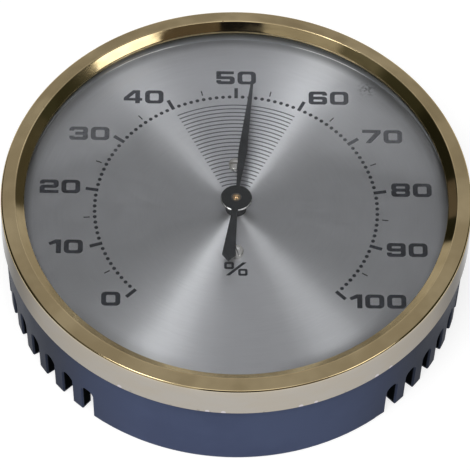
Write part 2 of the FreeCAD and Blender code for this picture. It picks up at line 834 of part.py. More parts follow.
save("rear_case", make_rear_case())
save("bezel", make_bezel())
save("crystal", make_crystal())
save("crystal_gasket", ring(disc_radius, disc_radius - gasket_width, spacer_top, gasket_top))
save("spacer_ring", ring(disc_radius, cavity_radius, dial_top, spacer_top))
save("dial", make_dial())
save("dial_screws", *make_dial_screws())

save("movement_frame", make_movement_frame())
save("bridge_pillars", *make_pillars())
save("bearing_bridge", make_bearing_bridge())
save("bridge_screws", *make_bridge_screws())
save("front_bush", make_front_bush())
save("rear_bush", make_rear_bush())

save("pointer_shaft", make_pointer_shaft())
save("hairspring_collet", make_collet())
hairspring, spring_end = make_hairspring()
save("hairspring", hairspring)
save("hairspring_stud", make_hairspring_stud(spring_end))

save("hair_bundle", make_hair_bundle())
save("hair_ferrules", *make_ferrules())
save("link_threads", *make_link_threads())
save("shaft_winding", make_winding(neck_radius, 0, 0))
save("adjuster_winding", make_winding(peg_neck_radius, -peg_reach, peg_y))

save("guide_roller", make_guide_roller())
save("roller_pin", make_roller_pin())
save("roller_clip", make_roller_clip())
save("adjuster_peg", make_adjuster_peg())
save("friction_washer", make_friction_washer())
save("adjuster_bush", make_adjuster_bush())

save("pointer_blade", make_pointer_blade())
save("pointer_boss", make_pointer_boss())
save("pointer_cap", make_pointer_cap())
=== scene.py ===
"""A round hair hygrometer on a pale floor: its finishes, its printed dial and its studio.

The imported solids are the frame. This script gives every one of them a worked surface, prints the
dial, spins the bezel and the crystal fine enough for reflections, and winds the hair and the
threads of the movement. Lengths of the object are in millimetres.
"""
from __future__ import annotations

import json
import logging
import math
from dataclasses import dataclass, field
from enum import Enum
from typing import Iterable, Sequence

import bmesh
import bpy
from mathutils import Matrix, Vector

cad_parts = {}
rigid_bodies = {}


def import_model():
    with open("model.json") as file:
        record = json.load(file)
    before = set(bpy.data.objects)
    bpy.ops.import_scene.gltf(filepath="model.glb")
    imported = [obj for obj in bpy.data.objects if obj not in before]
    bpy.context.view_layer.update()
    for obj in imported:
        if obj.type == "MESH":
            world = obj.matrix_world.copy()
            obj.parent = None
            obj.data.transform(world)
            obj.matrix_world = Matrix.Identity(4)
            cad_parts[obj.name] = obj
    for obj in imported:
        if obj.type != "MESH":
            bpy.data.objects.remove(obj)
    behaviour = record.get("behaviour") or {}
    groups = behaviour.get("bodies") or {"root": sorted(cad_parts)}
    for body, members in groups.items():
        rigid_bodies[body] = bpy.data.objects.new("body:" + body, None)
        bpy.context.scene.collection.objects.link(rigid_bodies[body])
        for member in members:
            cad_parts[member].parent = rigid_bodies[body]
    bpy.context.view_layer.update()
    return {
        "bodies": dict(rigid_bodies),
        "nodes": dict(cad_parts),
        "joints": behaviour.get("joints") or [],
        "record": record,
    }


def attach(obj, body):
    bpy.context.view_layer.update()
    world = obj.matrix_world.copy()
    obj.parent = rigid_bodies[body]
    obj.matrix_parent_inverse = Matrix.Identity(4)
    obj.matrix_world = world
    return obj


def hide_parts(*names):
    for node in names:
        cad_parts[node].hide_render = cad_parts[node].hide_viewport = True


LOG = logging.getLogger("hair_hygrometer")
MM = 0.001
FULL_TURN = 2 * math.pi
QUARTER_TURN = math.pi / 2
WANDER = (0.3, 0.7)
MEASURES = ("LENGTH", "DISTANCE")
Pair = tuple[float, float]
Point = tuple[float, float, float]
Colour = tuple[float, float, float]
Cloud = tuple[float, float, float]
Spot = tuple[float, float, float, float]
Socket = bpy.types.NodeSocket


class Body(Enum):
    """The bodies of the frame that a new piece rides on."""

    ROOT = "root"
    POINTER = "pointer"
    ADJUSTER = "adjuster"


class Axis(Enum):
    """The axes of the object, as unit vectors."""

    EAST = (1.0, 0.0, 0.0)
    NORTH = (0.0, 1.0, 0.0)
    UP = (0.0, 0.0, 1.0)

    @property
    def vector(self) -> Vector:
        """The axis as a vector."""
        return Vector(self.value)


def clock(degrees: float, radius: float, height: float = 0.0) -> Vector:
    """Find the point at a clock angle, a distance from the dial's middle and a height."""
    turn = math.radians(degrees)
    return Vector((radius * math.sin(turn), radius * math.cos(turn), height))


def facing(turn: float, rise: float) -> Vector:
    """Find the direction at a turn from the front, positive to the right, and a rise."""
    east, up = math.radians(turn), math.radians(rise)
    return Vector((math.sin(east) * math.cos(up), -math.cos(east) * math.cos(up), math.sin(up)))


def stand(name: str, data: bpy.types.ID) -> bpy.types.Object:
    """Put a mesh, a lamp or a camera into the scene.

    Args:
        name: The object's name.
        data: What it shows.

    Returns:
        The object.
    """
    made = bpy.data.objects.new(name, data)
    bpy.context.scene.collection.objects.link(made)
    return made


# Shader work


class Bench:
    """Short calls for the nodes of one node tree."""

    def __init__(self, tree: bpy.types.NodeTree) -> None:
        """Take over a node tree."""
        self.tree = tree

    def node(self, kind: str, *sources: object, **settings: object) -> bpy.types.Node:
        """Add one node.

        Args:
            kind: The node's type name.
            sources: Its first inputs in order.
            settings: Values of its own properties.

        Returns:
            The node.
        """
        made = self.tree.nodes.new(kind)
        for key, value in settings.items():
            setattr(made, key, value)
        for socket, source in zip(made.inputs, sources):
            self.feed(socket, source)
        return made

    def feed(self, socket: Socket, source: object) -> None:
        """Give an input its value or its link.

        Args:
            socket: The input.
            source: A number, a tuple or an output socket.
        """
        if isinstance(source, bpy.types.NodeSocket):
            self.tree.links.new(source, socket)
            return
        if isinstance(source, tuple) and socket.type == "RGBA":
            source = (*source, 1.0)
        socket.default_value = source

    def fill(self, node: bpy.types.Node, **values: object) -> bpy.types.NodeOutputs:
        """Feed inputs by name.

        Args:
            node: The node.
            values: Its inputs, with underscores for spaces.

        Returns:
            The node's outputs.
        """
        for name, source in values.items():
            self.feed(node.inputs[name.replace("_", " ")], source)
        return node.outputs

    def sum(self, operation: str, *sources: object, clamp: bool = False) -> Socket:
        """Work out one number from others with a Math node's operation."""
        return self.node("ShaderNodeMath", *sources, operation=operation,
                         use_clamp=clamp).outputs[0]

    def times(self, first: object, *others: object) -> Socket:
        """Multiply numbers.

        Args:
            first: A number.
            others: What it is multiplied by.

        Returns:
            The product.
        """
        for other in others:
            first = self.sum("MULTIPLY", first, other)
        return first

    def vector(self, operation: str, *sources: object) -> Socket:
        """Work out a vector, or its measure, with a Vector Math node's operation."""
        made = self.node("ShaderNodeVectorMath", *sources, operation=operation)
        return made.outputs["Value" if operation in MEASURES else "Vector"]

    def fade(self, value: object, start: float, end: float, low: float = 0.0,
             high: float = 1.0) -> Socket:
        """Turn a number into a soft step from low to high, between start and end."""
        return self.node("ShaderNodeMapRange", value, start, end, low, high,
                         interpolation_type="SMOOTHSTEP").outputs["Result"]

    def past(self, length: object, limits: Pair) -> Socket:
        """Mark the lengths past two limits in millimetres, with a fade between them."""
        return self.fade(length, limits[0] * MM, limits[1] * MM)

    def before(self, length: object, limits: Pair) -> Socket:
        """Mark the lengths before two limits in millimetres, with a fade between them."""
        return self.fade(length, limits[0] * MM, limits[1] * MM, 1.0, 0.0)

    def within(self, length: object, limits: Pair) -> Socket:
        """Mark the lengths between two limits in millimetres, with hard edges."""
        return self.times(self.sum("GREATER_THAN", length, limits[0] * MM),
                          self.sum("LESS_THAN", length, limits[1] * MM))

    def mix(self, share: object, first: object, second: object) -> Socket:
        """Mix two colours.

        Args:
            share: How much of the second shows.
            first: The colour at 0.
            second: The colour at 1.

        Returns:
            The mixed colour.
        """
        made = self.node("ShaderNodeMix", share, data_type="RGBA")
        self.feed(made.inputs[6], first)
        self.feed(made.inputs[7], second)
        return made.outputs[2]

    def place(self) -> Socket:
        """The surface point in the object's own coordinates."""
        return self.node("ShaderNodeTexCoord").outputs["Object"]

    def split(self) -> bpy.types.NodeOutputs:
        """The surface point's X, Y and Z."""
        return self.node("ShaderNodeSeparateXYZ", self.place()).outputs

    def plan(self) -> tuple[Socket, Socket]:
        """The surface point seen from above, and its height."""
        x, y, height = self.split()
        return self.node("ShaderNodeCombineXYZ", x, y).outputs[0], height

    def polar(self) -> tuple[Socket, Socket]:
        """The surface point's distance from the dial's axis, and its height."""
        flat, height = self.plan()
        return self.vector("LENGTH", flat), height

    def noise(self, where: object, scale: object, detail: float, roughness: float) -> Socket:
        """Read a noise pattern, which is about 0.5 in the middle."""
        return self.fill(self.node("ShaderNodeTexNoise"), Vector=where, Scale=scale,
                         Detail=detail, Roughness=roughness)[0]

    def cloud(self, pattern: Cloud, limits: Pair) -> Socket:
        """Mark soft patches of a noise pattern, by its scale, detail and roughness."""
        return self.fade(self.noise(self.place(), *pattern), *limits)


class Effect(Bench):
    """One shared effect: a node group that takes and gives plain numbers."""

    def __init__(self, name: str, gives: Sequence[str], **takes: float) -> None:
        """Start a group.

        Args:
            name: Its name.
            gives: Its outputs.
            takes: Its inputs with their usual values.
        """
        super().__init__(bpy.data.node_groups.new(name, "ShaderNodeTree"))
        for key, usual in takes.items():
            self.socket(key, "INPUT").default_value = usual
        for key in gives:
            self.socket(key, "OUTPUT")
        self.takes = self.node("NodeGroupInput").outputs
        self.gives = self.node("NodeGroupOutput")

    def socket(self, name: str, side: str) -> bpy.types.NodeTreeInterfaceSocket:
        """Add one number to the group's inputs or outputs."""
        return self.tree.interface.new_socket(name, in_out=side, socket_type="NodeSocketFloat")


class Effects:
    """The shared effects, each built once as a node group."""

    LINE_NOISE = (1.0, 3.0, 0.7)
    STREAK_NOISE = (1.0, 2.0, 0.6)
    STREAK_STRETCH = (2.3, 2.3, 0.09)
    FINE_DETAIL = (3.0, 0.6)
    SLOW_DETAIL = (3.0, 0.5)
    SPECK_RIM = (0.12, 0.34)

    def __init__(self) -> None:
        """Build the groups."""
        self.turned = self._turned()
        self.grain = self._grain()
        self.specks = self._specks()
        self.zone = self._zone()

    def _turned(self) -> bpy.types.NodeTree:
        """Fine lines round the dial's axis, as a lathe or a spinning brush leaves them.

        Returns:
            The group's tree.
        """
        bench = Effect("turned_lines", ("Lines", "Streaks"), Fineness=4000.0, Breaks=3.0)
        flat, height = bench.plan()
        spread = bench.vector("MULTIPLY", bench.vector("NORMALIZE", flat), bench.takes["Breaks"])
        out = bench.sum("ADD", bench.vector("LENGTH", flat), height)
        rise = bench.fill(bench.node("ShaderNodeCombineXYZ"),
                          Z=bench.times(out, bench.takes["Fineness"]))
        where = bench.vector("ADD", spread, rise[0])
        slow = bench.vector("MULTIPLY", where, self.STREAK_STRETCH)
        bench.fill(bench.gives, Lines=bench.noise(where, *self.LINE_NOISE),
                   Streaks=bench.noise(slow, *self.STREAK_NOISE))
        return bench.tree

    def _grain(self) -> bpy.types.NodeTree:
        """Even fine texture with a slow drift over it.

        Returns:
            The group's tree.
        """
        bench = Effect("grain", ("Fine", "Slow"), Fineness=3000.0, Drift=40.0)
        place = bench.place()
        bench.fill(bench.gives,
                   Fine=bench.noise(place, bench.takes["Fineness"], *self.FINE_DETAIL),
                   Slow=bench.noise(place, bench.takes["Drift"], *self.SLOW_DETAIL))
        return bench.tree

    def _specks(self) -> bpy.types.NodeTree:
        """Sparse small round marks of different sizes.

        Returns:
            The group's tree.
        """
        bench = Effect("specks", ("Mask",), Fineness=900.0, Amount=0.1)
        cells = bench.fill(bench.node("ShaderNodeTexVoronoi"), Vector=bench.place(),
                           Scale=bench.takes["Fineness"])
        kept = bench.sum("LESS_THAN", cells["Color"], bench.takes["Amount"])
        middle = bench.fade(cells["Distance"], *self.SPECK_RIM, 1.0, 0.0)
        bench.fill(bench.gives, Mask=bench.times(kept, middle))
        return bench.tree

    def _zone(self) -> bpy.types.NodeTree:
        """A soft round spot about a place, in millimetres.

        Returns:
            The group's tree.
        """
        bench = Effect("soft_spot", ("Mask",), X=0.0, Y=0.0, Z=0.0, Radius=1.0, Soft=1.0)
        spot = bench.node("ShaderNodeCombineXYZ",
                          *(bench.times(bench.takes[axis], MM) for axis in "XYZ"))
        gap = bench.vector("DISTANCE", bench.place(), spot.outputs[0])
        over = bench.sum("SUBTRACT", gap, bench.times(bench.takes["Radius"], MM))
        share = bench.sum("DIVIDE", over, bench.times(bench.takes["Soft"], MM), clamp=True)
        bench.fill(bench.gives, Mask=bench.sum("SUBTRACT", 1.0, share))
        return bench.tree


class Paint(Bench):
    """One material at work, with its Principled surface and the shared effects."""

    def __init__(self, name: str, effects: Effects | None = None) -> None:
        """Start a material.

        Args:
            name: The material's name.
            effects: The shared effects, where it uses them.
        """
        self.effects = effects
        self.material = bpy.data.materials.new(name)
        self.material.use_nodes = True
        super().__init__(self.material.node_tree)
        self.tree.nodes.clear()
        self.skin = self.node("ShaderNodeBsdfPrincipled")
        self.output = self.node("ShaderNodeOutputMaterial", self.skin.outputs[0])

    def set(self, **values: object) -> None:
        """Set inputs of the surface by name, with underscores for spaces."""
        self.fill(self.skin, **values)

    def group(self, tree: bpy.types.NodeTree, **values: float) -> bpy.types.NodeOutputs:
        """Place a shared effect and hand on its outputs."""
        return self.fill(self.node("ShaderNodeGroup", node_tree=tree), **values)

    def turned(self, fineness: float, breaks: float) -> tuple[Socket, Socket]:
        """Place turned lines: the lines and their streaks."""
        return tuple(self.group(self.effects.turned, Fineness=fineness, Breaks=breaks))

    def grain(self, fineness: float, drift: float) -> tuple[Socket, Socket]:
        """Place grain: the fine texture and its slow drift."""
        return tuple(self.group(self.effects.grain, Fineness=fineness, Drift=drift))

    def specks(self, fineness: float, amount: float) -> Socket:
        """Place specks."""
        return self.group(self.effects.specks, Fineness=fineness, Amount=amount)[0]

    def spots(self, places: Iterable[Spot], core: float) -> object:
        """Place soft round spots.

        Args:
            places: Each spot's middle and the width of its soft rim.
            core: The radius of the full middle, as a share of that width.

        Returns:
            The strongest of them at each point.
        """
        joined: object = 0.0
        for x, y, z, soft in places:
            spot = self.group(self.effects.zone, X=x, Y=y, Z=z, Radius=soft * core, Soft=soft)
            joined = self.sum("MAXIMUM", joined, spot[0])
        return joined

    def uneven(self, drift: Socket, middle: float, spread: Pair) -> Socket:
        """Let a number wander from some way below its middle to some way above."""
        return self.fade(drift, *WANDER, middle - spread[0], middle + spread[1])

    def bump(self, height: Socket, depth: float, strength: float = 1.0,
             under: Socket | None = None) -> Socket:
        """Turn a height into a normal.

        Args:
            height: The height pattern, 0 to 1.
            depth: What 1 means, in metres.
            strength: How much of it shows.
            under: A normal that it adds to.

        Returns:
            The normal.
        """
        made = self.node("ShaderNodeBump")
        if under is not None:
            self.fill(made, Normal=under)
        return self.fill(made, Strength=strength, Distance=depth, Height=height)[0]


@dataclass(frozen=True)
class Finish:
    """A surface that can be laid on a piece; a relief is a depth in metres and its strength."""

    name: str

    def make(self, effects: Effects) -> bpy.types.Material:
        """Build the material.

        Args:
            effects: The shared effects.

        Returns:
            The material.
        """
        paint = Paint(self.name, effects)
        self.lay(paint)
        return paint.material

    def lay(self, paint: Paint) -> None:
        """Set the surface; each finish has its own way."""
        raise NotImplementedError


@dataclass(frozen=True)
class MouldedPlastic(Finish):
    """Satin moulded plastic with a fine grain and a trace of dust, with painted shade on its flanks
    and deep painted shade inside its slots.
    """

    name: str = "case_moulded_plastic"
    colour: Colour = (0.085, 0.109, 0.207)
    faded: Colour = (0.102, 0.130, 0.236)
    dust: Colour = (0.22, 0.22, 0.24)
    # Painted shade on the flanks, away from the front.
    shaded: Colour = (0.012, 0.016, 0.024)
    # Painted shade deep inside the slots.
    slot_shade: Colour = (0.002, 0.003, 0.004)
    roughness: float = 0.42
    spread: Pair = (0.05, 0.08)
    gloss: float = 0.025
    grain: Pair = (5200.0, 55.0)
    relief: Pair = (0.000015, 1.0)
    fading: Pair = (0.35, 0.68)
    specks: Pair = (1500.0, 0.035)
    dust_share: float = 0.35
    flank_shade: Pair = (29.0, 47.0)
    flank_shade_share: float = 0.8
    slot_inside: Pair = (47.4, 47.6)
    slot_outside: Pair = (49.27, 49.62)
    slot_taper: float = 0.0357
    slot_low: Pair = (0.3, 1.2)
    slot_high: Pair = (9.4, 9.9)

    def lay(self, paint: Paint) -> None:
        """Set the plastic.

        Args:
            paint: The material.
        """
        fine, slow = paint.grain(*self.grain)
        colour = paint.mix(paint.fade(slow, *self.fading), self.colour, self.faded)
        dust = paint.times(paint.specks(*self.specks), self.dust_share)
        colour = paint.mix(dust, colour, self.dust)
        # Painted shade inside the slots, where the walls lie deep; the same mask also raises the
        # roughness there.
        radius, height = paint.polar()
        reach = paint.sum("SUBTRACT", radius, paint.times(height, self.slot_taper))
        slots = paint.times(paint.past(radius, self.slot_inside),
                            paint.before(reach, self.slot_outside),
                            paint.past(height, self.slot_low),
                            paint.before(height, self.slot_high))
        # Painted shade on the flanks: darkest left and right, fading out towards the front and
        # back.
        flank_shade = paint.before(paint.sum("ABSOLUTE", paint.split()[1]), self.flank_shade)
        colour = paint.mix(paint.times(flank_shade, self.flank_shade_share), colour, self.shaded)
        colour = paint.mix(slots, colour, self.slot_shade)
        rough = paint.sum("MAXIMUM", paint.uneven(slow, self.roughness, self.spread), slots)
        paint.set(Base_Color=colour, Roughness=rough, Specular_IOR_Level=self.gloss,
                  Normal=paint.bump(fine, *self.relief))


@dataclass(frozen=True)
class PlatedBrass(Finish):
    """Lacquered pale brass of the bezel: warm face and cone, paler band with a painted dark
    reflection on its sides, specks at the edges.
    """

    name: str = "bezel_plated_brass"
    face: Colour = (0.75, 0.585, 0.325)
    bright: Colour = (0.93, 0.745, 0.43)
    # The band's tone is its paler plating and partly a painted reflection of the shaded floor.
    band: Colour = (0.425, 0.397, 0.355)
    # Painted dark reflection on the band's sides.
    side_reflection: Colour = (0.058, 0.056, 0.045)
    streaked: Colour = (0.42, 0.33, 0.18)
    dark: Colour = (0.16, 0.10, 0.04)
    flaked: Colour = (0.30, 0.28, 0.25)
    chipped: Colour = (0.62, 0.58, 0.62)
    grazing: Colour = (0.50, 0.49, 0.48)
    roughness: float = 0.045
    spread: Pair = (0.015, 0.03)
    grain: Pair = (2400.0, 90.0)
    relief: Pair = (0.000002, 0.3)
    turning: Pair = (2600.0, 2.4)
    turned_relief: Pair = (0.000002, 0.4)
    face_edge: Pair = (50.9, 51.1)
    sides: Pair = (15.0, 31.0)
    side_reflection_share: float = 0.9
    patches: Cloud = (62.0, 3.0, 0.6)
    patch_limits: Pair = (0.38, 0.62)
    streak_limits: tuple[float, ...] = (0.36, 0.66, 1.0, 0.0)
    streak_rise: tuple[float, ...] = (-0.012, 0.03, 0.35, 1.0)
    streak_share: float = 0.32
    streak_rough: float = 0.2
    specks: Pair = (1300.0, 0.16)
    speck_limits: Pair = (0.1, 0.5)
    speck_rough: float = 0.4
    worn: tuple[Spot, ...] = (
        (-39.8, 23.2, 27.2, 2.4), (-43.9, 13.4, 27.2, 2.0), (-41.5, -20.4, 27.2, 1.6),
        (-37.2, -27.4, 27.2, 2.2), (-4.0, 46.6, 27.2, 1.8), (45.6, 11.0, 27.2, 1.2))
    worn_core: float = 0.4
    foot: Pair = (19.65, 20.6)
    flakes: Cloud = (700.0, 4.0, 0.7)
    flake_limits: Pair = (0.56, 0.66)
    chips: tuple[Spot, ...] = (
        (-24.6, -44.8, 19.9, 0.5), (-6.0, -50.8, 19.8, 0.45), (-2.6, -51.1, 19.8, 0.5),
        (13.8, -49.2, 19.8, 0.5), (17.0, -48.2, 19.9, 0.4), (30.0, -41.4, 19.9, 0.5),
        (33.0, -39.0, 19.8, 0.45))
    chip_core: float = 0.5
    chip_limits: Pair = (0.35, 0.6)
    chip_share: float = 0.8

    def lay(self, paint: Paint) -> None:
        """Set the plating.

        Args:
            paint: The material.
        """
        lines, streaks = paint.turned(*self.turning)
        fine, slow = paint.grain(*self.grain)
        radius, height = paint.polar()
        along = paint.split()[1]
        # Painted dark reflection on the band's sides, fading out towards the front and back.
        side = paint.before(paint.sum("ABSOLUTE", along), self.sides)
        band = paint.mix(paint.times(side, self.side_reflection_share), self.band, self.side_reflection)
        face = paint.mix(paint.cloud(self.patches, self.patch_limits), self.face, self.bright)
        colour = paint.mix(paint.before(radius, self.face_edge), band, face)
        streak = paint.times(paint.fade(streaks, *self.streak_limits),
                             paint.fade(along, *self.streak_rise), self.streak_share)
        colour = paint.mix(streak, colour, self.streaked)
        marks = paint.times(paint.fade(paint.specks(*self.specks), *self.speck_limits),
                            paint.spots(self.worn, self.worn_core))
        colour = paint.mix(marks, colour, self.dark)
        flakes = paint.cloud(self.flakes, self.flake_limits)
        colour = paint.mix(paint.times(paint.before(height, self.foot), flakes), colour,
                           self.flaked)
        chips = paint.fade(paint.spots(self.chips, self.chip_core), *self.chip_limits)
        colour = paint.mix(paint.times(chips, self.chip_share), colour, self.chipped)
        rough = paint.sum("ADD", paint.uneven(slow, self.roughness, self.spread),
                          paint.times(streak, self.streak_rough))
        rough = paint.sum("ADD", rough, paint.times(marks, self.speck_rough), clamp=True)
        turned = paint.bump(lines, *self.turned_relief)
        paint.set(Base_Color=colour, Metallic=1.0, Roughness=rough, Specular_Tint=self.grazing,
                  Normal=paint.bump(fine, *self.relief, turned))


@dataclass(frozen=True)
class BrushedDial(Finish):
    """Aluminium brushed in rings, which spreads each lamp into a wedge from the middle; its rim
    carries painted shade.
    """

    name: str = "dial_ring_brushed_aluminium"
    colour: Colour = (0.90, 0.91, 0.935)
    grooved: Colour = (0.86, 0.87, 0.895)
    smudged: Colour = (0.16, 0.16, 0.17)
    # Painted shade for the rim and for the lower rim.
    shaded: Colour = (0.10, 0.10, 0.085)
    spotted: Colour = (0.3, 0.3, 0.31)
    roughness: float = 0.47
    spread: Pair = (0.02, 0.02)
    slow_rough: float = 0.03
    directed: float = 1.0
    across: float = 0.25
    grain: Pair = (1800.0, 60.0)
    brushing: Pair = (3600.0, 5.0)
    groove_limits: Pair = (0.32, 0.68)
    relief: Pair = (0.000003, 0.25)
    smudge: Spot = (29.2, 33.4, 22.0, 2.2)
    smudge_core: float = 0.3 / 2.2
    smudge_pattern: Cloud = (1500.0, 3.0, 0.5)
    smudge_limits: Pair = (0.45, 0.62)
    smudge_share: float = 0.75
    # Painted shade near the rim, where the bezel shades the dial, deepest about the listed spot.
    rim: Pair = (44.2, 46.6)
    deep_shade_spot: Spot = (36.0, 28.0, 22.0, 28.0)
    deep_shade_core: float = 8.0 / 28.0
    rim_shade_shares: Pair = (0.58, 0.85)
    # Painted shade on the lower rim, left and right of the middle.
    lower: Pair = (-36.0, -22.0)
    lower_shade_rim: Pair = (40.0, 44.0)
    lower_shade_sides: Pair = (7.0, 14.0)
    lower_shade_share: float = 0.3
    specks: Pair = (420.0, 0.02)
    speck_share: float = 0.4

    def lay(self, paint: Paint) -> None:
        """Set the aluminium.

        Args:
            paint: The material.
        """
        lines, streaks = paint.turned(*self.brushing)
        slow = paint.grain(*self.grain)[1]
        radius = paint.polar()[0]
        x, y, _ = paint.split()
        colour = paint.mix(paint.fade(lines, *self.groove_limits), self.grooved, self.colour)
        smudge = paint.times(paint.spots([self.smudge], self.smudge_core),
                             paint.cloud(self.smudge_pattern, self.smudge_limits),
                             self.smudge_share)
        colour = paint.mix(smudge, colour, self.smudged)
        # Painted shade towards the rim, deepest on the upper right.
        share = paint.fade(paint.spots([self.deep_shade_spot], self.deep_shade_core), 0.0, 1.0, *self.rim_shade_shares)
        colour = paint.mix(paint.times(paint.past(radius, self.rim), share), colour, self.shaded)
        # Painted shade on the lower rim, left and right of the middle.
        lower = paint.times(paint.before(y, self.lower), paint.past(radius, self.lower_shade_rim),
                            paint.past(paint.sum("ABSOLUTE", x), self.lower_shade_sides),
                            self.lower_shade_share)
        colour = paint.mix(lower, colour, self.shaded)
        specks = paint.times(paint.specks(*self.specks), self.speck_share)
        colour = paint.mix(specks, colour, self.spotted)
        rough = paint.sum("ADD", paint.uneven(streaks, self.roughness, self.spread),
                          paint.times(slow, self.slow_rough))
        lie = paint.node("ShaderNodeTangent", direction_type="RADIAL", axis="Z")
        paint.set(Base_Color=colour, Metallic=1.0, Roughness=rough, Anisotropic=self.directed,
                  Anisotropic_Rotation=self.across, Tangent=lie.outputs[0],
                  Normal=paint.bump(lines, *self.relief))


@dataclass(frozen=True)
class MattFill(Finish):
    """Matt rubber, slightly uneven in tone."""

    colour: Colour
    pale: Colour
    roughness: float = 0.7
    gloss: float = 0.5
    grain: Pair = (2600.0, 140.0)
    relief: Pair = (0.00002, 0.6)
    pale_limits: Pair = (0.35, 0.7)

    def lay(self, paint: Paint) -> None:
        """Set the fill.

        Args:
            paint: The material.
        """
        fine, slow = paint.grain(*self.grain)
        colour = paint.mix(paint.fade(slow, *self.pale_limits), self.colour, self.pale)
        paint.set(Base_Color=colour, Roughness=self.roughness, Specular_IOR_Level=self.gloss,
                  Normal=paint.bump(fine, *self.relief))


@dataclass(frozen=True)
class PrintInk(MattFill):
    """Flat screen-printed ink, slightly uneven in tone."""

    name: str = "dial_print_ink"
    colour: Colour = (0.004, 0.005, 0.008)
    pale: Colour = (0.012, 0.014, 0.020)
    roughness: float = 0.6
    gloss: float = 0.08
    grain: Pair = (5200.0, 700.0)
    relief: Pair = (0.000004, 0.5)


@dataclass(frozen=True)
class ClearGlass(Finish):
    """Clear glass that lets lamps through to what lies behind it."""

    name: str = "crystal_clear_glass"
    colour: Colour = (0.985, 0.99, 0.99)
    index: float = 1.49
    grain: Pair = (260.0, 30.0)
    smear: tuple[float, ...] = (0.5, 0.75, 0.0, 0.035)

    def lay(self, paint: Paint) -> None:
        """Set the glass.

        Args:
            paint: The material.
        """
        slow = paint.grain(*self.grain)[1]
        paint.set(Base_Color=self.colour, Roughness=paint.fade(slow, *self.smear),
                  IOR=self.index, Transmission_Weight=1.0)
        shadow = paint.node("ShaderNodeLightPath").outputs["Is Shadow Ray"]
        through = paint.node("ShaderNodeBsdfTransparent")
        choice = paint.node("ShaderNodeMixShader", shadow, paint.skin.outputs[0],
                            through.outputs[0])
        paint.feed(paint.output.inputs["Surface"], choice.outputs[0])


@dataclass(frozen=True)
class WorkedMetal(Finish):
    """Turned, stamped or plated metal of a small part."""

    colour: Colour
    tarnish: Colour
    roughness: float = 0.22
    lines: float = 0.0
    rim: tuple[Pair, Colour] | None = None
    spread: Pair = (0.04, 0.08)
    grain: Pair = (5000.0, 260.0)
    relief: Pair = (0.000003, 0.4)
    tarnish_limits: Pair = (0.42, 0.75)
    specks: Pair = (1800.0, 0.03)
    speck_share: float = 0.5
    turning: Pair = (5000.0, 2.0)
    line_depth: float = 0.000006

    def lay(self, paint: Paint) -> None:
        """Set the metal.

        Args:
            paint: The material.
        """
        fine, slow = paint.grain(*self.grain)
        colour = paint.mix(paint.fade(slow, *self.tarnish_limits), self.colour, self.tarnish)
        marks = paint.times(paint.specks(*self.specks), self.speck_share)
        colour = paint.mix(marks, colour, self.tarnish)
        if self.rim:
            limits, dark = self.rim
            colour = paint.mix(paint.past(paint.polar()[0], limits), colour, dark)
        normal = paint.bump(fine, *self.relief)
        if self.lines:
            turned = paint.turned(*self.turning)[0]
            normal = paint.bump(turned, self.line_depth, self.lines, normal)
        paint.set(Base_Color=colour, Metallic=1.0, Normal=normal,
                  Roughness=paint.uneven(slow, self.roughness, self.spread))


@dataclass(frozen=True)
class SatinLacquer(Finish):
    """Black lacquer on stamped sheet, worn lighter in places, with painted shade about the hub, and
    worn through to the metal on the front half of the hub's rim as a painted glint.
    """

    name: str = "pointer_satin_lacquer"
    colour: Colour = (0.006, 0.007, 0.008)
    lighter_tone: Colour = (0.015, 0.017, 0.019)
    # Painted shade about the hub.
    shaded: Colour = (0.0, 0.001, 0.001)
    # Worn metal for the front half of the hub's rim, a painted glint.
    bare_glint: Colour = (0.86, 0.86, 0.85)
    roughness: float = 0.33
    spread: Pair = (0.04, 0.06)
    gloss: float = 0.11
    grain: Pair = (4800.0, 420.0)
    relief: Pair = (0.000006, 0.6)
    rub_limits: Pair = (0.4, 0.75)
    hub_edge: Pair = (3.215, 3.41)
    hub_wall: Pair = (26.19, 26.296)
    hub_shade: Pair = (3.41, 4.5)
    shade_share: float = 0.75
    bare_glint_rough: float = -0.06
    turned: float = 6.21
    tail_half: float = 0.75

    def lay(self, paint: Paint) -> None:
        """Set the lacquer.

        Args:
            paint: The material.
        """
        fine, slow = paint.grain(*self.grain)
        radius, height = paint.polar()
        # Worn metal at the hub's rim, laid only on its front half as a painted glint.
        bare_glint = paint.times(paint.within(radius, self.hub_edge),
                           paint.within(height, self.hub_wall), self.front_rim(paint))
        colour = paint.mix(paint.fade(slow, *self.rub_limits), self.colour, self.lighter_tone)
        # Painted shade on the sheet about the hub.
        shade = paint.times(paint.before(radius, self.hub_shade), self.shade_share)
        colour = paint.mix(shade, colour, self.shaded)
        rough = paint.sum("ADD", paint.uneven(slow, self.roughness, self.spread),
                          paint.times(bare_glint, self.bare_glint_rough))
        paint.set(Base_Color=paint.mix(bare_glint, colour, self.bare_glint), Roughness=rough, Metallic=bare_glint,
                  Specular_IOR_Level=self.gloss, Normal=paint.bump(fine, *self.relief))

    def front_rim(self, paint: Paint) -> Socket:
        """Mark the tail's half of the hub, without the tail itself.

        Args:
            paint: The material.

        Returns:
            1 there and 0 elsewhere.
        """
        x, y, _ = paint.split()
        east, north = math.cos(math.radians(self.turned)), math.sin(math.radians(self.turned))
        across = paint.sum("SUBTRACT", paint.times(x, east), paint.times(y, north))
        along = paint.sum("ADD", paint.times(x, north), paint.times(y, east))
        beside = paint.sum("GREATER_THAN", paint.sum("ABSOLUTE", across), self.tail_half * MM)
        return paint.times(beside, paint.sum("LESS_THAN", along, 0.0))


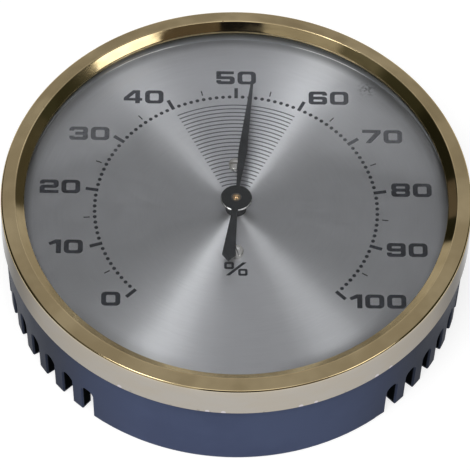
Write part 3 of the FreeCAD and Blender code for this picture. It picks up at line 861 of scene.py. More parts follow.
@dataclass(frozen=True)
class RingPlastic(Finish):
    """Grey spacer ring with painted shade along its top, under the bezel's lip, and a painted
    highlight at parts of its foot.
    """

    name: str = "spacer_pale_plastic"
    colour: Colour = (0.22, 0.23, 0.24)
    # Painted shade along the top of the ring, under the bezel's lip.
    lip_shade: Colour = (0.035, 0.036, 0.026)
    # Painted highlight on parts of the ring's foot.
    lighter_tone: Colour = (0.95, 0.95, 0.93)
    roughness: float = 0.4
    grain: Pair = (2600.0, 160.0)
    relief: Pair = (0.00002, 0.4)
    lip_shade_span: Pair = (22.2, 23.8)
    lip_shade_drift: float = 0.0003
    foot: Pair = (22.22, 22.3)
    glint_start: Pair = (11.0, 16.0)
    glint_end: Pair = (25.0, 31.0)

    def lay(self, paint: Paint) -> None:
        """Set the plastic.

        Args:
            paint: The material.
        """
        fine, slow = paint.grain(*self.grain)
        x, _, height = paint.split()
        # Painted shade along the top of the ring, under the bezel's lip.
        edge = paint.sum("ADD", height, paint.times(slow, self.lip_shade_drift))
        colour = paint.mix(paint.past(edge, self.lip_shade_span), self.colour, self.lip_shade)
        # Painted highlight along parts of the foot, on both sides.
        aside = paint.sum("ABSOLUTE", x)
        foot = paint.times(paint.before(height, self.foot), paint.past(aside, self.glint_start),
                           paint.before(aside, self.glint_end))
        paint.set(Base_Color=paint.mix(foot, colour, self.lighter_tone), Roughness=self.roughness,
                  Normal=paint.bump(fine, *self.relief))


@dataclass(frozen=True)
class Fibre(Finish):
    """Hair or waxed thread with lengthwise changes of tone."""

    colour: Colour
    pale: Colour
    sheen: float = 0.3
    roughness: float = 0.5
    stretch: Point = (400.0, 9000.0, 9000.0)
    pattern: Cloud = (1.0, 3.0, 0.6)
    relief: Pair = (0.00002, 0.5)

    def lay(self, paint: Paint) -> None:
        """Set the fibre.

        Args:
            paint: The material.
        """
        tone = paint.noise(paint.vector("MULTIPLY", paint.place(), self.stretch), *self.pattern)
        colour = paint.mix(paint.fade(tone, *WANDER), self.colour, self.pale)
        paint.set(Base_Color=colour, Roughness=self.roughness, Sheen_Weight=self.sheen,
                  Normal=paint.bump(tone, *self.relief))


class Palette:
    """Every material of the object, by the name of the finish's slot."""

    def __init__(self) -> None:
        """Build the shared effects and the materials."""
        effects = Effects()
        finishes = {
            "case_plastic": MouldedPlastic(),
            "bezel_brass": PlatedBrass(),
            "crystal_glass": ClearGlass(),
            "gasket_rubber": MattFill("gasket_rubber", (0.018, 0.018, 0.018), (0.03, 0.03, 0.03)),
            "spacer_plastic": RingPlastic(),
            "dial_aluminium": BrushedDial(),
            "ink": PrintInk(),
            "grey_ink": PrintInk("dial_grey_ink", (0.055, 0.057, 0.068), (0.080, 0.082, 0.094)),
            "nickel": WorkedMetal("screw_nickel", (0.84, 0.83, 0.80), (0.66, 0.64, 0.59), 0.1),
            "movement_brass": WorkedMetal("movement_brass", (0.78, 0.60, 0.30),
                                          (0.50, 0.36, 0.17), 0.24, 0.5),
            "steel": WorkedMetal("movement_steel", (0.60, 0.61, 0.62), (0.42, 0.42, 0.42), 0.24,
                                 0.3),
            "hair": Fibre("hair_strands", (0.42, 0.31, 0.18), (0.66, 0.53, 0.34), 0.4, 0.38),
            "thread": Fibre("waxed_thread", (0.62, 0.59, 0.52), (0.80, 0.78, 0.71), 0.2, 0.55),
            "pointer_black": SatinLacquer(),
            "cap_brass": WorkedMetal("cap_polished_brass", (1.0, 0.68, 0.36), (0.85, 0.45, 0.18),
                                     0.16, rim=((0.85, 0.89), (0.10, 0.095, 0.085))),
        }
        self.made = {slot: finish.make(effects) for slot, finish in finishes.items()}

    def dress(self, frame: dict, nodes: Iterable[str]) -> None:
        """Give carried-over solids their finishes.

        Args:
            frame: The loaded frame.
            nodes: The solids' nodes.
        """
        for node in nodes:
            solid = frame["nodes"][node]
            slot = solid.data.materials[0].name.split(".")[0]
            solid.material_slots[0].material = self.made[slot]
            LOG.info("dressed %s in %s", node, slot)


# Mesh work


class Workpiece:
    """One mesh on the bench, in millimetres until it is finished."""

    def __init__(self, name: str) -> None:
        """Start an empty mesh."""
        self.name = name
        self.mesh = bmesh.new()

    def line(self, points: Iterable[Sequence[float]]) -> list:
        """Lay a run of edges through points and hand on its vertices and edges."""
        corners = [self.mesh.verts.new(point) for point in points]
        return corners + [self.mesh.edges.new(pair) for pair in zip(corners, corners[1:])]

    def disc(self, radius: float, sides: int, lie: Matrix) -> list:
        """Set a filled disc.

        Args:
            radius: Its radius.
            sides: How many sides it has.
            lie: Its place and turn.

        Returns:
            Its face, vertices and edges.
        """
        ring = bmesh.ops.create_circle(self.mesh, cap_ends=True, segments=sides, radius=radius,
                                       matrix=lie)["verts"]
        face = ring[0].link_faces[0]
        return [face, *face.verts, *face.edges]

    def spin(self, parts: list, steps: int, angle: float = FULL_TURN, axis: Axis = Axis.UP,
             centre: Point = (0.0, 0.0, 0.0), lift: float = 0.0) -> list:
        """Turn parts about an axis.

        Args:
            parts: What turns.
            steps: How many steps it takes.
            angle: How far it turns.
            axis: The axis that it turns about.
            centre: A point on that axis.
            lift: How far each step moves along the axis.

        Returns:
            What is at the far end.
        """
        made = bmesh.ops.spin(self.mesh, geom=parts, cent=centre, axis=axis.value,
                              dvec=axis.vector * lift, angle=angle, steps=steps,
                              use_merge=angle == FULL_TURN, use_duplicate=False)
        return made["geom_last"]

    def weld(self, gap: float = 1e-4) -> None:
        """Merge doubles and turn the faces outwards."""
        bmesh.ops.remove_doubles(self.mesh, verts=self.mesh.verts[:], dist=gap)
        self.turn_out()

    def turn_out(self) -> None:
        """Turn the faces outwards."""
        bmesh.ops.recalc_face_normals(self.mesh, faces=self.mesh.faces[:])

    def soften(self, edges: list, width: float, segments: int) -> None:
        """Round edges over a width, with some segments."""
        bmesh.ops.bevel(self.mesh, geom=edges, offset=width, offset_type="OFFSET",
                        segments=segments, profile=0.5, affect="EDGES", material=-1,
                        clamp_overlap=True)

    def finish(self, palette: Palette, slot: str, body: Body = Body.ROOT,
               node: str | None = None, smooth: float = 40.0) -> None:
        """Turn the mesh into a finished object that rides on a body.

        Args:
            palette: The materials.
            slot: The name of its finish.
            body: The body that it rides on.
            node: The node that it stands for, whose slot it takes.
            smooth: The angle in degrees up to which edges are shaded smooth, 0 for none.
        """
        bmesh.ops.scale(self.mesh, vec=(MM, MM, MM), verts=self.mesh.verts[:])
        for face in self.mesh.faces:
            face.smooth = smooth > 0
        for edge in self.mesh.edges:
            edge.smooth = (len(edge.link_faces) != 2
                           or edge.calc_face_angle(0.0) < math.radians(smooth))
        data = bpy.data.meshes.new(self.name)
        self.mesh.to_mesh(data)
        self.mesh.free()
        data.materials.append(palette.made[slot])
        made = stand(self.name, data)
        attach(made, body.value)
        if node:
            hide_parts(node)
        LOG.info("made %s: %d faces on %s", self.name, len(data.polygons), body.value)


@dataclass
class Bezel:
    """Spun sheet bezel: upright band, tilted face and the cone down to the crystal."""

    outer: float = 51.15
    low: float = 19.6
    shoulder: float = 51.07
    edge: float = 27.54
    crest_radius: float = 47.95
    crest: float = 28.13
    lip_radius: float = 45.98
    lip: float = 26.74
    foot: float = 26.2
    sheet: float = 0.4
    edge_round: float = 0.42
    crest_round: float = 0.14
    lip_round: float = 0.1
    beside: float = 0.14
    level: float = 1e-3
    steps: int = 288
    segments: tuple[int, ...] = (5, 4, 3)
    smooth: float = 50.0

    def build(self, palette: Palette) -> None:
        """Spin the bezel and give it its plating.

        Args:
            palette: The materials.
        """
        piece = Workpiece("bezel_spun")
        piece.spin(piece.line(self.outline()), self.steps)
        piece.weld()
        for height, width, segments in zip(
                (self.edge, self.crest, self.lip),
                (self.edge_round, self.crest_round, self.lip_round), self.segments):
            rim = [edge for edge in piece.mesh.edges
                   if all(abs(end.co.z - height) < self.level for end in edge.verts)]
            piece.soften(rim, width, segments)
        bmesh.ops.solidify(piece.mesh, geom=piece.mesh.faces[:], thickness=self.sheet)
        piece.finish(palette, "bezel_brass", node="bezel", smooth=self.smooth)

    def outline(self) -> list[Vector]:
        """Draw the outside, with a point on each side of a rounding that keeps it narrow.

        Returns:
            The points from the band's lower edge to the foot.
        """
        corners = [(Vector((self.outer, 0, self.low)), 0.0),
                   (Vector((self.shoulder, 0, self.edge)), self.edge_round),
                   (Vector((self.crest_radius, 0, self.crest)), self.crest_round),
                   (Vector((self.lip_radius, 0, self.lip)), self.lip_round),
                   (Vector((self.lip_radius, 0, self.foot)), 0.0)]
        points = [corners[0][0]]
        for (start, before), (end, after) in zip(corners, corners[1:]):
            along = (end - start).normalized()
            if before:
                points.append(start + along * (before + self.beside))
            if after:
                points.append(end - along * (after + self.beside))
            points.append(end)
        return points


@dataclass
class Crystal:
    """Domed crystal with a flat flange under the bezel's lip."""

    crown: float = 28.7
    edge: float = 26.2
    dome_radius: float = 45.98
    flange_radius: float = 48.74
    under: float = 25.0
    thickness: float = 1.2
    rings: int = 36
    steps: int = 192
    smooth: float = 30.0

    def build(self, palette: Palette) -> None:
        """Spin the crystal.

        Args:
            palette: The materials.
        """
        piece = Workpiece("crystal_domed")
        rise = self.crown - self.edge
        sphere = (self.dome_radius ** 2 + rise ** 2) / (2 * rise)
        reach = math.asin(self.dome_radius / sphere)
        ends = [piece.spin([piece.mesh.verts.new((0, 0, top))], self.rings, reach, Axis.NORTH,
                           (0.0, 0.0, self.crown - sphere))
                for top in (self.crown, self.crown - self.thickness)]
        flange = piece.line([(self.flange_radius, 0, self.edge),
                             (self.flange_radius, 0, self.under)])
        for end, corner in zip(ends, flange):
            last = next(part for part in end if isinstance(part, bmesh.types.BMVert))
            piece.mesh.edges.new((last, corner))
        piece.spin(piece.mesh.verts[:] + piece.mesh.edges[:], self.steps)
        piece.weld()
        piece.finish(palette, "crystal_glass", node="crystal", smooth=self.smooth)


@dataclass(frozen=True)
class Digits:
    """Squared extended numerals as outlines, each corner with its rounding."""

    width: float = 4.1
    height: float = 3.6
    upright: float = 1.06
    bar: float = 0.80
    serif: float = 0.3
    gap: float = 0.62
    outer: float = 0.78
    inner: float = 0.26
    hole: float = 0.234
    small: float = 0.1
    nick: Pair = (0.2, 0.34)

    def outlines(self, sign: str) -> list[list[Point]]:
        """Draw one sign.

        Args:
            sign: The numeral or the percent sign.

        Returns:
            Closed outlines; holes lie inside the first.
        """
        wide, tall, post, bar, cut = self.width, self.height, self.upright, self.bar, self.serif
        big, mid, tip = self.outer, self.inner, self.small
        waist = (tall - bar) / 2
        right = wide - post
        top = tall - bar
        half = tall / 2
        deep, open_ = self.nick
        nick = [(wide, half - open_, tip), (wide - deep, half, tip), (wide, half + open_, tip)]
        hook_low = [(post, bar, tip), (post, bar + cut, tip), (0, bar + cut, tip)]
        hook_high = [(0, top - cut, tip), (post, top - cut, tip), (post, top, tip)]
        lower_hole = self.box(post, bar, right, waist, self.hole)
        upper_hole = self.box(post, waist + bar, right, top, self.hole)
        six = [[(0, 0, big), (wide, 0, big), (wide, waist + bar, big), (post, waist + bar, tip),
                (post, top, mid), (right, top, tip), (right, top - cut, tip),
                (wide, top - cut, tip), (wide, tall, big), (0, tall, big)], lower_hole]
        return {
            "0": [self.box(0, 0, wide, tall, 0.95), self.box(post, bar, right, top, 0.34)],
            "1": [[(1.68, 0, tip), (2.76, 0, tip), (2.76, tall, tip), (1.55, tall, tip),
                   (0, 2.75, tip), (0.36, 2.08, tip), (1.68, 2.6, tip)]],
            "2": [[(0, 0, tip), (wide, 0, tip), (wide, bar, tip), (post, bar, tip),
                   (post, waist, mid), (wide, waist, big), (wide, tall, big), (0, tall, big),
                   *hook_high, (right, top, mid), (right, waist + bar, mid),
                   (0, waist + bar, big)]],
            "3": [[(0, 0, big), (wide, 0, big), *nick, (wide, tall, big), (0, tall, big),
                   *hook_high, (right, top, mid), (right, waist + bar, mid),
                   (0.32 * wide, waist + bar, tip), (0.32 * wide, waist, tip),
                   (right, waist, mid), (right, bar, mid), *hook_low]],
            "4": [[(2.55, 0, tip), (3.6, 0, tip), (3.6, 0.72, tip), (wide, 0.72, tip),
                   (wide, 1.42, tip), (3.6, 1.42, tip), (3.6, tall, tip), (2.05, tall, tip),
                   (0, 1.5, tip), (0, 0.72, tip), (2.55, 0.72, tip)],
                  [(1.12, 1.42, 0.06), (2.55, 1.42, 0.06), (2.55, 2.86, 0.06)]],
            "5": [[(0, 0, big), (wide, 0, big), (wide, waist + bar, big), (post, waist + bar, tip),
                   (post, top, tip), (wide - 0.2, top, tip), (wide - 0.2, tall, tip),
                   (0, tall, tip), (0, waist, tip), (right, waist, mid), (right, bar, mid),
                   *hook_low]],
            "6": six,
            "7": [[(0, tall, tip), (0, top, tip), (wide - 1.3, top, tip), (0.72, 0, tip),
                   (1.9, 0, tip), (wide, top - 0.1, tip), (wide, tall, tip)]],
            "8": [[(0, 0, big), (wide, 0, big), *nick, (wide, tall, big), (0, tall, big),
                   *[(wide - x, tall - y, r) for x, y, r in nick]], lower_hole, upper_hole],
            "9": [[(wide - x, tall - y, r) for x, y, r in outline] for outline in six],
            "%": [self.box(-0.06, 1.70, 2.04, 3.54, 0.42), self.box(0.48, 2.21, 1.50, 3.03, 0.14),
                  [(0.26, 0.02, 0.03), (1.12, 0.02, 0.03), (4.76, 3.48, 0.03),
                   (3.90, 3.48, 0.03)],
                  self.box(2.95, -0.02, 4.97, 1.78, 0.42), self.box(3.48, 0.48, 4.44, 1.28, 0.14)],
        }[sign]

    @staticmethod
    def box(left: float, low: float, right: float, high: float, corner: float) -> list[Point]:
        """Draw a box outline from its sides and its rounding."""
        return [(left, low, corner), (right, low, corner), (right, high, corner),
                (left, high, corner)]

    def advance(self, sign: str) -> float:
        """The width that a sign takes in a number."""
        return {"1": 2.76, "%": 4.95}.get(sign, self.width)


@dataclass
class DialPrint:
    """Everything printed on the dial, as thin ink on its face."""

    face: float = 22.0
    sunk: float = 0.01
    ink: float = 0.025
    sweep: float = 270.0
    dot_ring: float = 30.75
    dot_radius: float = 0.42
    dot_sides: int = 24
    tick_outer: float = 33.2
    ticks: tuple = (("major_ticks", range(0, 101, 10), 30.4, 0.78),
                    ("half_ticks", range(5, 100, 10), 31.85, 0.26))
    arc_first: float = 28.47
    arc_pitch: float = 1.0285
    arc_count: int = 22
    arc_reach: float = 27.0
    arc_width: float = 0.25
    arc_steps: int = 36
    broad: float = 0.2
    broad_segments: int = 5
    small_segments: int = 2
    digits: Digits = field(default_factory=Digits)
    texts: tuple = (
        ("numerals", (("0", -26.8, -24.0), ("10", -36.8, -10.4), ("20", -38.4, 5.65),
                      ("30", -32.3, 20.2), ("40", -20.5, 30.5), ("50", 0.0, 36.1),
                      ("60", 20.5, 30.7), ("70", 32.2, 20.2), ("80", 38.3, 5.65),
                      ("90", 37.0, -10.4), ("100", 30.4, -24.0))),
        ("percent_sign", (("%", 0.0, -15.8),)))

    def angle(self, percent: float) -> float:
        """The clock angle of a reading."""
        return (percent / 100 - 0.5) * self.sweep

    @property
    def middle(self) -> float:
        """The height of the ink's middle."""
        return self.face + (self.ink - self.sunk) / 2

    def build(self, palette: Palette) -> None:
        """Print the scale, the comfort arcs, the numbers and the sign.

        Args:
            palette: The materials.
        """
        self.print_dots(palette)
        for name, values, inner, width in self.ticks:
            piece = Workpiece(name)
            for value in values:
                self.print_tick(piece, self.angle(value), inner, width)
            self.finish(piece, palette)
        self.print_arcs(palette)
        for name, texts in self.texts:
            piece = Workpiece(name)
            for text, x, y in texts:
                self.write(piece, text, x, y)
            self.finish(piece, palette)

    def finish(self, piece: Workpiece, palette: Palette, ink: str = "ink") -> None:
        """Turn printed shapes into ink on the dial."""
        piece.turn_out()
        piece.finish(palette, ink, smooth=0.0)

    def print_dots(self, palette: Palette) -> None:
        """Print a dot at every percent that has no major tick.

        Args:
            palette: The materials.
        """
        piece = Workpiece("scale_dots")
        for value in (reading for reading in range(101) if reading % 10):
            place = clock(self.angle(value), self.dot_ring, self.middle)
            bmesh.ops.create_cone(piece.mesh, cap_ends=True, segments=self.dot_sides,
                                  radius1=self.dot_radius, radius2=self.dot_radius,
                                  depth=self.ink + self.sunk, matrix=Matrix.Translation(place))
        self.finish(piece, palette)

    def print_tick(self, piece: Workpiece, angle: float, inner: float, width: float) -> None:
        """Print one radial tick.

        Args:
            piece: The mesh that takes it.
            angle: Its clock angle.
            inner: The radius of its inner end.
            width: Its width.
        """
        middle = (0, (inner + self.tick_outer) / 2, self.middle)
        size = (width, self.tick_outer - inner, self.ink + self.sunk, 1)
        bmesh.ops.create_cube(piece.mesh, size=1.0,
                              matrix=Matrix.Rotation(-math.radians(angle), 4, "Z")
                              @ Matrix.Translation(middle) @ Matrix.Diagonal(size))

    def print_arcs(self, palette: Palette) -> None:
        """Print the fan of fine arcs under the middle of the scale.

        Args:
            palette: The materials.
        """
        piece = Workpiece("comfort_arcs")
        half = self.arc_width / 2
        low, high = self.face - self.sunk, self.face + self.ink
        start = math.radians(90 - self.arc_reach)
        for index in range(self.arc_count):
            radius = self.arc_first - index * self.arc_pitch
            corners = [piece.mesh.verts.new((r * math.cos(start), r * math.sin(start), z))
                       for r, z in ((radius - half, low), (radius + half, low),
                                    (radius + half, high), (radius - half, high))]
            section = piece.mesh.faces.new(corners)
            piece.spin([section, *corners, *section.edges], self.arc_steps,
                       math.radians(2 * self.arc_reach))
        self.finish(piece, palette, "grey_ink")

    def write(self, piece: Workpiece, text: str, x: float, y: float) -> None:
        """Print one number about its middle.

        Args:
            piece: The mesh that takes it.
            text: Its signs.
            x: Its middle across the dial.
            y: Its middle up the dial.
        """
        digits = self.digits
        total = sum(digits.advance(sign) for sign in text) + digits.gap * (len(text) - 1)
        left = x - total / 2
        for sign in text:
            self.print_sign(piece, sign, left, y - digits.height / 2)
            left += digits.advance(sign) + digits.gap

    def print_sign(self, piece: Workpiece, sign: str, left: float, low: float) -> None:
        """Print one sign: rounded outlines, filled and given the ink's thickness.

        Args:
            piece: The mesh that takes it.
            sign: The sign.
            left: Its left side.
            low: Its lower side.
        """
        work = bmesh.new()
        for outline in self.digits.outlines(sign):
            corners = [work.verts.new((left + x, low + y, self.face - self.sunk))
                       for x, y, _ in outline]
            work.faces.new(corners)
            for radius in sorted({r for _, _, r in outline}):
                rounded = [corner for corner, (_, _, r) in zip(corners, outline) if r == radius]
                segments = self.broad_segments if radius > self.broad else self.small_segments
                bmesh.ops.bevel(work, geom=rounded, offset=radius, offset_type="OFFSET",
                                segments=segments, profile=0.5, affect="VERTICES",
                                material=-1, clamp_overlap=False)
        edges = work.edges[:]
        bmesh.ops.delete(work, geom=work.faces[:], context="FACES_ONLY")
        bmesh.ops.triangle_fill(work, edges=edges, use_beauty=True, normal=(0, 0, 1))
        raised = bmesh.ops.extrude_face_region(work, geom=work.faces[:])["geom"]
        bmesh.ops.translate(work, vec=(0, 0, self.ink + self.sunk),
                            verts=[part for part in raised if isinstance(part, bmesh.types.BMVert)])
        flat = bpy.data.meshes.new("sign")
        work.to_mesh(flat)
        work.free()
        piece.mesh.from_mesh(flat)
        bpy.data.meshes.remove(flat)


@dataclass
class Windings:
    """Turns of thread on the shaft and on the adjuster peg."""

    low: float = 16.996
    high: float = 17.846
    thread: float = 0.13
    gap: float = 0.005
    sides: int = 10
    steps: int = 20
    necks: tuple = (("shaft_turns", 0.35, 0.0, 0.0, Body.POINTER, "shaft_winding"),
                    ("adjuster_turns", 0.8, -33.0, 4.53, Body.ADJUSTER, "adjuster_winding"))

    def build(self, palette: Palette) -> None:
        """Wind a single layer of thread on each neck, by its radius and its axis in plan.

        Args:
            palette: The materials.
        """
        turns = (self.high - self.low - 2 * self.thread) / (2 * self.thread)
        steps = int(self.steps * turns)
        for name, neck, x, y, body, node in self.necks:
            piece = Workpiece(name)
            start = Vector((x + neck + self.thread, y, self.low + self.thread))
            lie = Matrix.Translation(start) @ Matrix.Rotation(QUARTER_TURN, 4, "X")
            piece.spin(piece.disc(self.thread - self.gap, self.sides, lie), steps,
                       FULL_TURN * turns, centre=(x, y, 0.0),
                       lift=2 * self.thread * turns / steps)
            piece.turn_out()
            piece.finish(palette, "thread", body, node)


@dataclass
class Strands:
    """The hairs and the two threads, laid strand by strand along the route of their solids.

    The route leaves the shaft towards the roller, turns back round it and ends at the peg.
    """

    height: float = 16.816
    near: float = -0.51
    far: float = 5.49
    roller: Pair = (33.0, 2.49)
    near_knot: float = 8.0
    far_knot: float = -26.0
    peg_end: float = -33.0
    bundle: float = 0.45
    rings: int = 3
    sides: int = 6
    hair_lay: Pair = (2.2, 6.0)
    bend_steps: int = 24
    thread: float = 0.13
    thread_lay: Pair = (0.12, 48.0)
    smooth: float = 70.0

    def build(self, palette: Palette) -> None:
        """Lay the hairs and the threads.

        Args:
            palette: The materials.
        """
        hairs = Workpiece("hair_strands")
        fibre = self.bundle / (2 * self.rings + 1)
        ends = self.ends(hairs, (self.near_knot, self.near), self.packed(fibre), fibre)
        ends = self.twist(hairs, ends, self.near, self.roller[0] - self.near_knot, self.hair_lay)
        ends = hairs.spin(ends, self.bend_steps, math.pi, centre=(*self.roller, 0.0))
        self.twist(hairs, ends, self.far, self.far_knot - self.roller[0], self.hair_lay)
        hairs.turn_out()
        hairs.finish(palette, "hair", node="hair_bundle", smooth=self.smooth)
        threads = Workpiece("thread_plies")
        ply = self.thread / 2
        for start, side, reach in ((0.0, self.near, self.near_knot),
                                   (self.peg_end, self.far, self.far_knot - self.peg_end)):
            ends = self.ends(threads, (start, side), [(0.0, ply), (0.0, -ply)], ply)
            self.twist(threads, ends, side, reach, self.thread_lay)
        threads.turn_out()
        threads.finish(palette, "thread", node="link_threads", smooth=self.smooth)

    def packed(self, fibre: float) -> list[Pair]:
        """Pack round fibres of one radius in rings about the middle one."""
        return [(0.0, 0.0)] + [tuple(clock(60 * index / ring, 2 * fibre * ring).xy)
                               for ring in range(1, self.rings + 1) for index in range(6 * ring)]

    def ends(self, piece: Workpiece, start: Pair, places: Iterable[Pair], radius: float) -> list:
        """Set a small disc for each strand, square to the run along X.

        Args:
            piece: The mesh that takes them.
            start: Where the run starts in plan.
            places: The strands' middles across it.
            radius: The strands' radius.

        Returns:
            The discs' faces, edges and vertices.
        """
        made = []
        for across, up in places:
            lie = (Matrix.Translation((start[0], start[1] + across, self.height + up))
                   @ Matrix.Rotation(QUARTER_TURN, 4, "Y"))
            made += piece.disc(radius, self.sides, lie)
        return made

    def twist(self, piece: Workpiece, parts: list, side: float, reach: float, lay: Pair) -> list:
        """Run strands along X while they turn about their common middle.

        Args:
            piece: The mesh.
            parts: The strands' ends.
            side: Where their middle lies along Y.
            reach: How far they run, and which way.
            lay: The length of one step and its turn in degrees.

        Returns:
            What is at the far end.
        """
        step, turn = lay
        steps = round(abs(reach) / step)
        return piece.spin(parts, steps, math.radians(turn * steps), Axis.EAST,
                          (0.0, side, self.height), reach / steps)


@dataclass
class Movement:
    """The works behind the dial, all carried over from the frame."""

    solids: tuple[str, ...] = (
        "movement_frame", "bridge_pillars", "bearing_bridge", "bridge_screws", "front_bush",
        "rear_bush", "pointer_shaft", "hairspring_collet", "hairspring", "hairspring_stud",
        "hair_bundle", "hair_ferrules", "link_threads", "guide_roller", "roller_pin",
        "roller_clip", "adjuster_peg", "friction_washer", "adjuster_bush", "shaft_winding",
        "adjuster_winding")
    windings: Windings = field(default_factory=Windings)
    strands: Strands = field(default_factory=Strands)

    def build(self, frame: dict, palette: Palette) -> None:
        """Dress the solids, wind the threads and lay the hairs.

        Args:
            frame: The loaded frame.
            palette: The materials.
        """
        palette.dress(frame, self.solids)
        self.windings.build(palette)
        self.strands.build(palette)


@dataclass
class Housing:
    """Case, seals, dial plate and pointer, carried over from the frame."""

    solids: tuple[str, ...] = ("rear_case", "bezel", "crystal", "crystal_gasket", "spacer_ring",
                               "dial", "dial_screws", "pointer_blade", "pointer_boss",
                               "pointer_cap")

    def build(self, frame: dict, palette: Palette) -> None:
        """Dress the solids."""
        palette.dress(frame, self.solids)


# Studio


@dataclass(frozen=True)
class Panel:
    """A plain area of the surroundings, by the directions in degrees that it fills.

    Turn counts from the front, positive to the right; a rear panel counts both ways alike.
    """

    turn: Pair
    rise: Pair
    colour: Colour
    soft: float = 2.0
    both: bool = False


@dataclass(frozen=True)
class Softbox:
    """A soft lamp that looks at the object, sized and placed in metres."""

    name: str
    turn: float
    rise: float
    distance: float
    width: float
    height: float
    radiance: float
    mirrored: bool = True


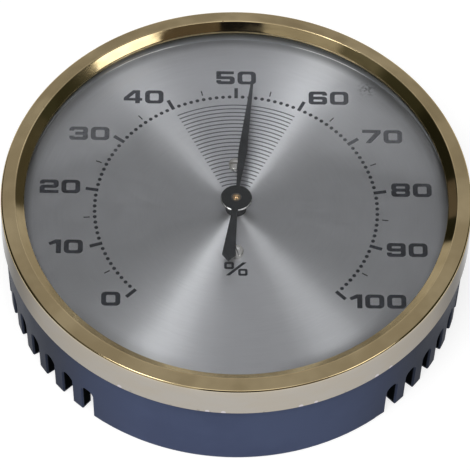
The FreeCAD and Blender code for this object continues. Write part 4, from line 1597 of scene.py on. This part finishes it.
@dataclass
class Studio:
    """Pale floor, quiet surroundings, soft lamps and the camera, in metres."""

    azimuth: float = -1.38106
    elevation: float = 54.36066
    roll: float = 1.75081
    distance: float = 0.884463
    aim: Point = (-0.00026162, -0.00866451, 0.02494174)
    lens: float = 313.694
    sensor: float = 36.0
    clip: float = 0.01
    room: Colour = (0.305, 0.305, 0.312)
    floor_size: float = 6.0
    floor_paint: Colour = (0.38, 0.38, 0.38)
    floor_rough: float = 0.9
    floor_glow: float = 0.72
    panels: tuple[Panel, ...] = (
        Panel((-1.0, 131.0), (-20.0, 60.0), (0.034, 0.036, 0.024), 3.0),
        Panel((-140.5, 1.0), (-20.0, 60.0), (0.034, 0.036, 0.024), 1.5),
        Panel((103.0, 133.0), (14.0, 33.0), (0.065, 0.063, 0.048), 1.5),
        Panel((-140.5, -96.0), (8.0, 37.0), (0.014, 0.015, 0.010), 1.5),
        Panel((-134.0, -123.0), (14.0, 23.0), (0.08, 0.07, 0.06), 0.8),
        Panel((-76.0, -54.0), (-20.0, 60.0), (0.10, 0.10, 0.082), 7.0),
        Panel((-55.0, -13.5), (-20.0, 60.0), (0.36, 0.36, 0.35), 2.5),
        Panel((-13.5, 11.0), (10.0, 62.0), (0.006, 0.006, 0.008), 0.7),
        Panel((11.0, 45.0), (10.0, 62.0), (0.085, 0.070, 0.055), 1.0),
        Panel((131.0, 181.0), (-20.0, 15.0), (0.35, 0.35, 0.35), 3.0),
        Panel((-181.0, -141.0), (-20.0, 15.0), (0.40, 0.40, 0.40), 1.5),
        Panel((167.0, 181.0), (37.0, 47.0), (0.60, 0.61, 0.66), 5.0, True),
        Panel((158.0, 171.0), (44.0, 49.5), (0.90, 0.91, 0.95), 3.0, True),
        Panel((158.0, 181.0), (51.0, 66.0), (0.33, 0.33, 0.34), 4.0, True),
        Panel((-1.0, 62.0), (64.0, 86.0), (0.92, 0.92, 0.95), 8.0, True))
    lamps: tuple[Softbox, ...] = (
        Softbox("right_softbox", 63.0, 51.5, 1.3, 0.43, 0.46, 2.2),
        Softbox("left_softbox", -64.0, 68.0, 1.3, 0.27, 0.34, 4.1),
        Softbox("front_fill", -15.0, 62.0, 1.7, 1.1, 1.1, 5.5, False))

    def build(self) -> None:
        """Set the camera, the floor, the surroundings and the lamps."""
        self.place_camera()
        self.lay_floor()
        self.paint_room()
        for lamp in self.lamps:
            self.hang(lamp)
        bpy.context.scene.view_settings.view_transform = "Standard"

    def place_camera(self) -> None:
        """Put the camera where the photograph was taken from."""
        back = facing(self.azimuth, self.elevation)
        right = (-back).cross(Axis.UP.vector).normalized()
        up = right.cross(-back)
        roll = math.radians(self.roll)
        across = right * math.cos(roll) + up * math.sin(roll)
        along = up * math.cos(roll) - right * math.sin(roll)
        data = bpy.data.cameras.new("camera")
        data.lens = self.lens
        data.sensor_width = self.sensor
        data.clip_start = self.clip
        camera = stand("camera", data)
        camera.matrix_world = (Matrix.Translation(Vector(self.aim) + back * self.distance)
                               @ Matrix((across, along, back)).transposed().to_4x4())
        bpy.context.scene.camera = camera
        LOG.info("camera at %s", tuple(round(part, 4) for part in camera.matrix_world.translation))

    def lay_floor(self) -> None:
        """Lay the pale floor, which also shows white to metal and glass."""
        paint = Paint("studio_floor")
        paths = paint.node("ShaderNodeLightPath").outputs
        seen = paint.sum("MAXIMUM", paths["Is Camera Ray"], paths["Is Glossy Ray"])
        seen = paint.sum("MAXIMUM", seen, paths["Is Transmission Ray"])
        paint.set(Base_Color=self.floor_paint, Roughness=self.floor_rough,
                  Specular_IOR_Level=0.0, Emission_Color=(1.0, 1.0, 1.0),
                  Emission_Strength=paint.times(seen, self.floor_glow))
        mesh = bmesh.new()
        bmesh.ops.create_grid(mesh, x_segments=1, y_segments=1, size=self.floor_size / 2)
        data = bpy.data.meshes.new("floor")
        mesh.to_mesh(data)
        mesh.free()
        data.materials.append(paint.material)
        stand("floor", data)

    def paint_room(self) -> None:
        """Paint the surroundings by direction: even grey above, dark in front and beside."""
        world = bpy.data.worlds.new("studio")
        world.use_nodes = True
        bench = Bench(world.node_tree)
        bench.tree.nodes.clear()
        looked = bench.node("ShaderNodeTexCoord").outputs["Generated"]
        x, y, z = bench.node("ShaderNodeSeparateXYZ", looked).outputs
        turn = bench.sum("ARCTAN2", x, bench.times(y, -1.0))
        either = bench.sum("ABSOLUTE", turn)
        rise = bench.sum("ARCSINE", z)
        colour: object = self.room
        for panel in self.panels:
            across = either if panel.both else turn
            share = bench.times(self.between(bench, across, panel.turn, panel.soft),
                                self.between(bench, rise, panel.rise, panel.soft))
            colour = bench.mix(share, colour, panel.colour)
        sky = bench.node("ShaderNodeBackground", colour)
        bench.node("ShaderNodeOutputWorld", sky.outputs[0])
        bpy.context.scene.world = world

    @staticmethod
    def between(bench: Bench, value: Socket, limits: Pair, soft: float) -> Socket:
        """Mark the angles between two limits.

        Args:
            bench: The tree.
            value: The angle in radians.
            limits: The limits in degrees.
            soft: The width of each limit's fade in degrees.

        Returns:
            1 between the limits and 0 outside.
        """
        low, high = ([math.radians(limit - soft / 2), math.radians(limit + soft / 2)]
                     for limit in limits)
        return bench.times(bench.fade(value, *low), bench.fade(value, *high, 1.0, 0.0))

    def hang(self, lamp: Softbox) -> None:
        """Hang one lamp.

        Args:
            lamp: The lamp.
        """
        data = bpy.data.lights.new(lamp.name, "AREA")
        data.shape = "RECTANGLE"
        data.size = lamp.width
        data.size_y = lamp.height
        data.energy = lamp.radiance * math.pi * lamp.width * lamp.height
        made = stand(lamp.name, data)
        toward = facing(lamp.turn, lamp.rise)
        made.matrix_world = (Matrix.Translation(toward * lamp.distance)
                             @ toward.to_track_quat("Z", "Y").to_matrix().to_4x4())
        made.visible_glossy = lamp.mirrored
        made.visible_transmission = lamp.mirrored
        made.visible_camera = False


def main() -> None:
    """Load the frame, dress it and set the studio."""
    logging.basicConfig(level=logging.INFO, format="%(message)s")
    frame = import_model()
    palette = Palette()
    Housing().build(frame, palette)
    Movement().build(frame, palette)
    Bezel().build(palette)
    Crystal().build(palette)
    DialPrint().build(palette)
    Studio().build()


if __name__ == "__main__":
    main()
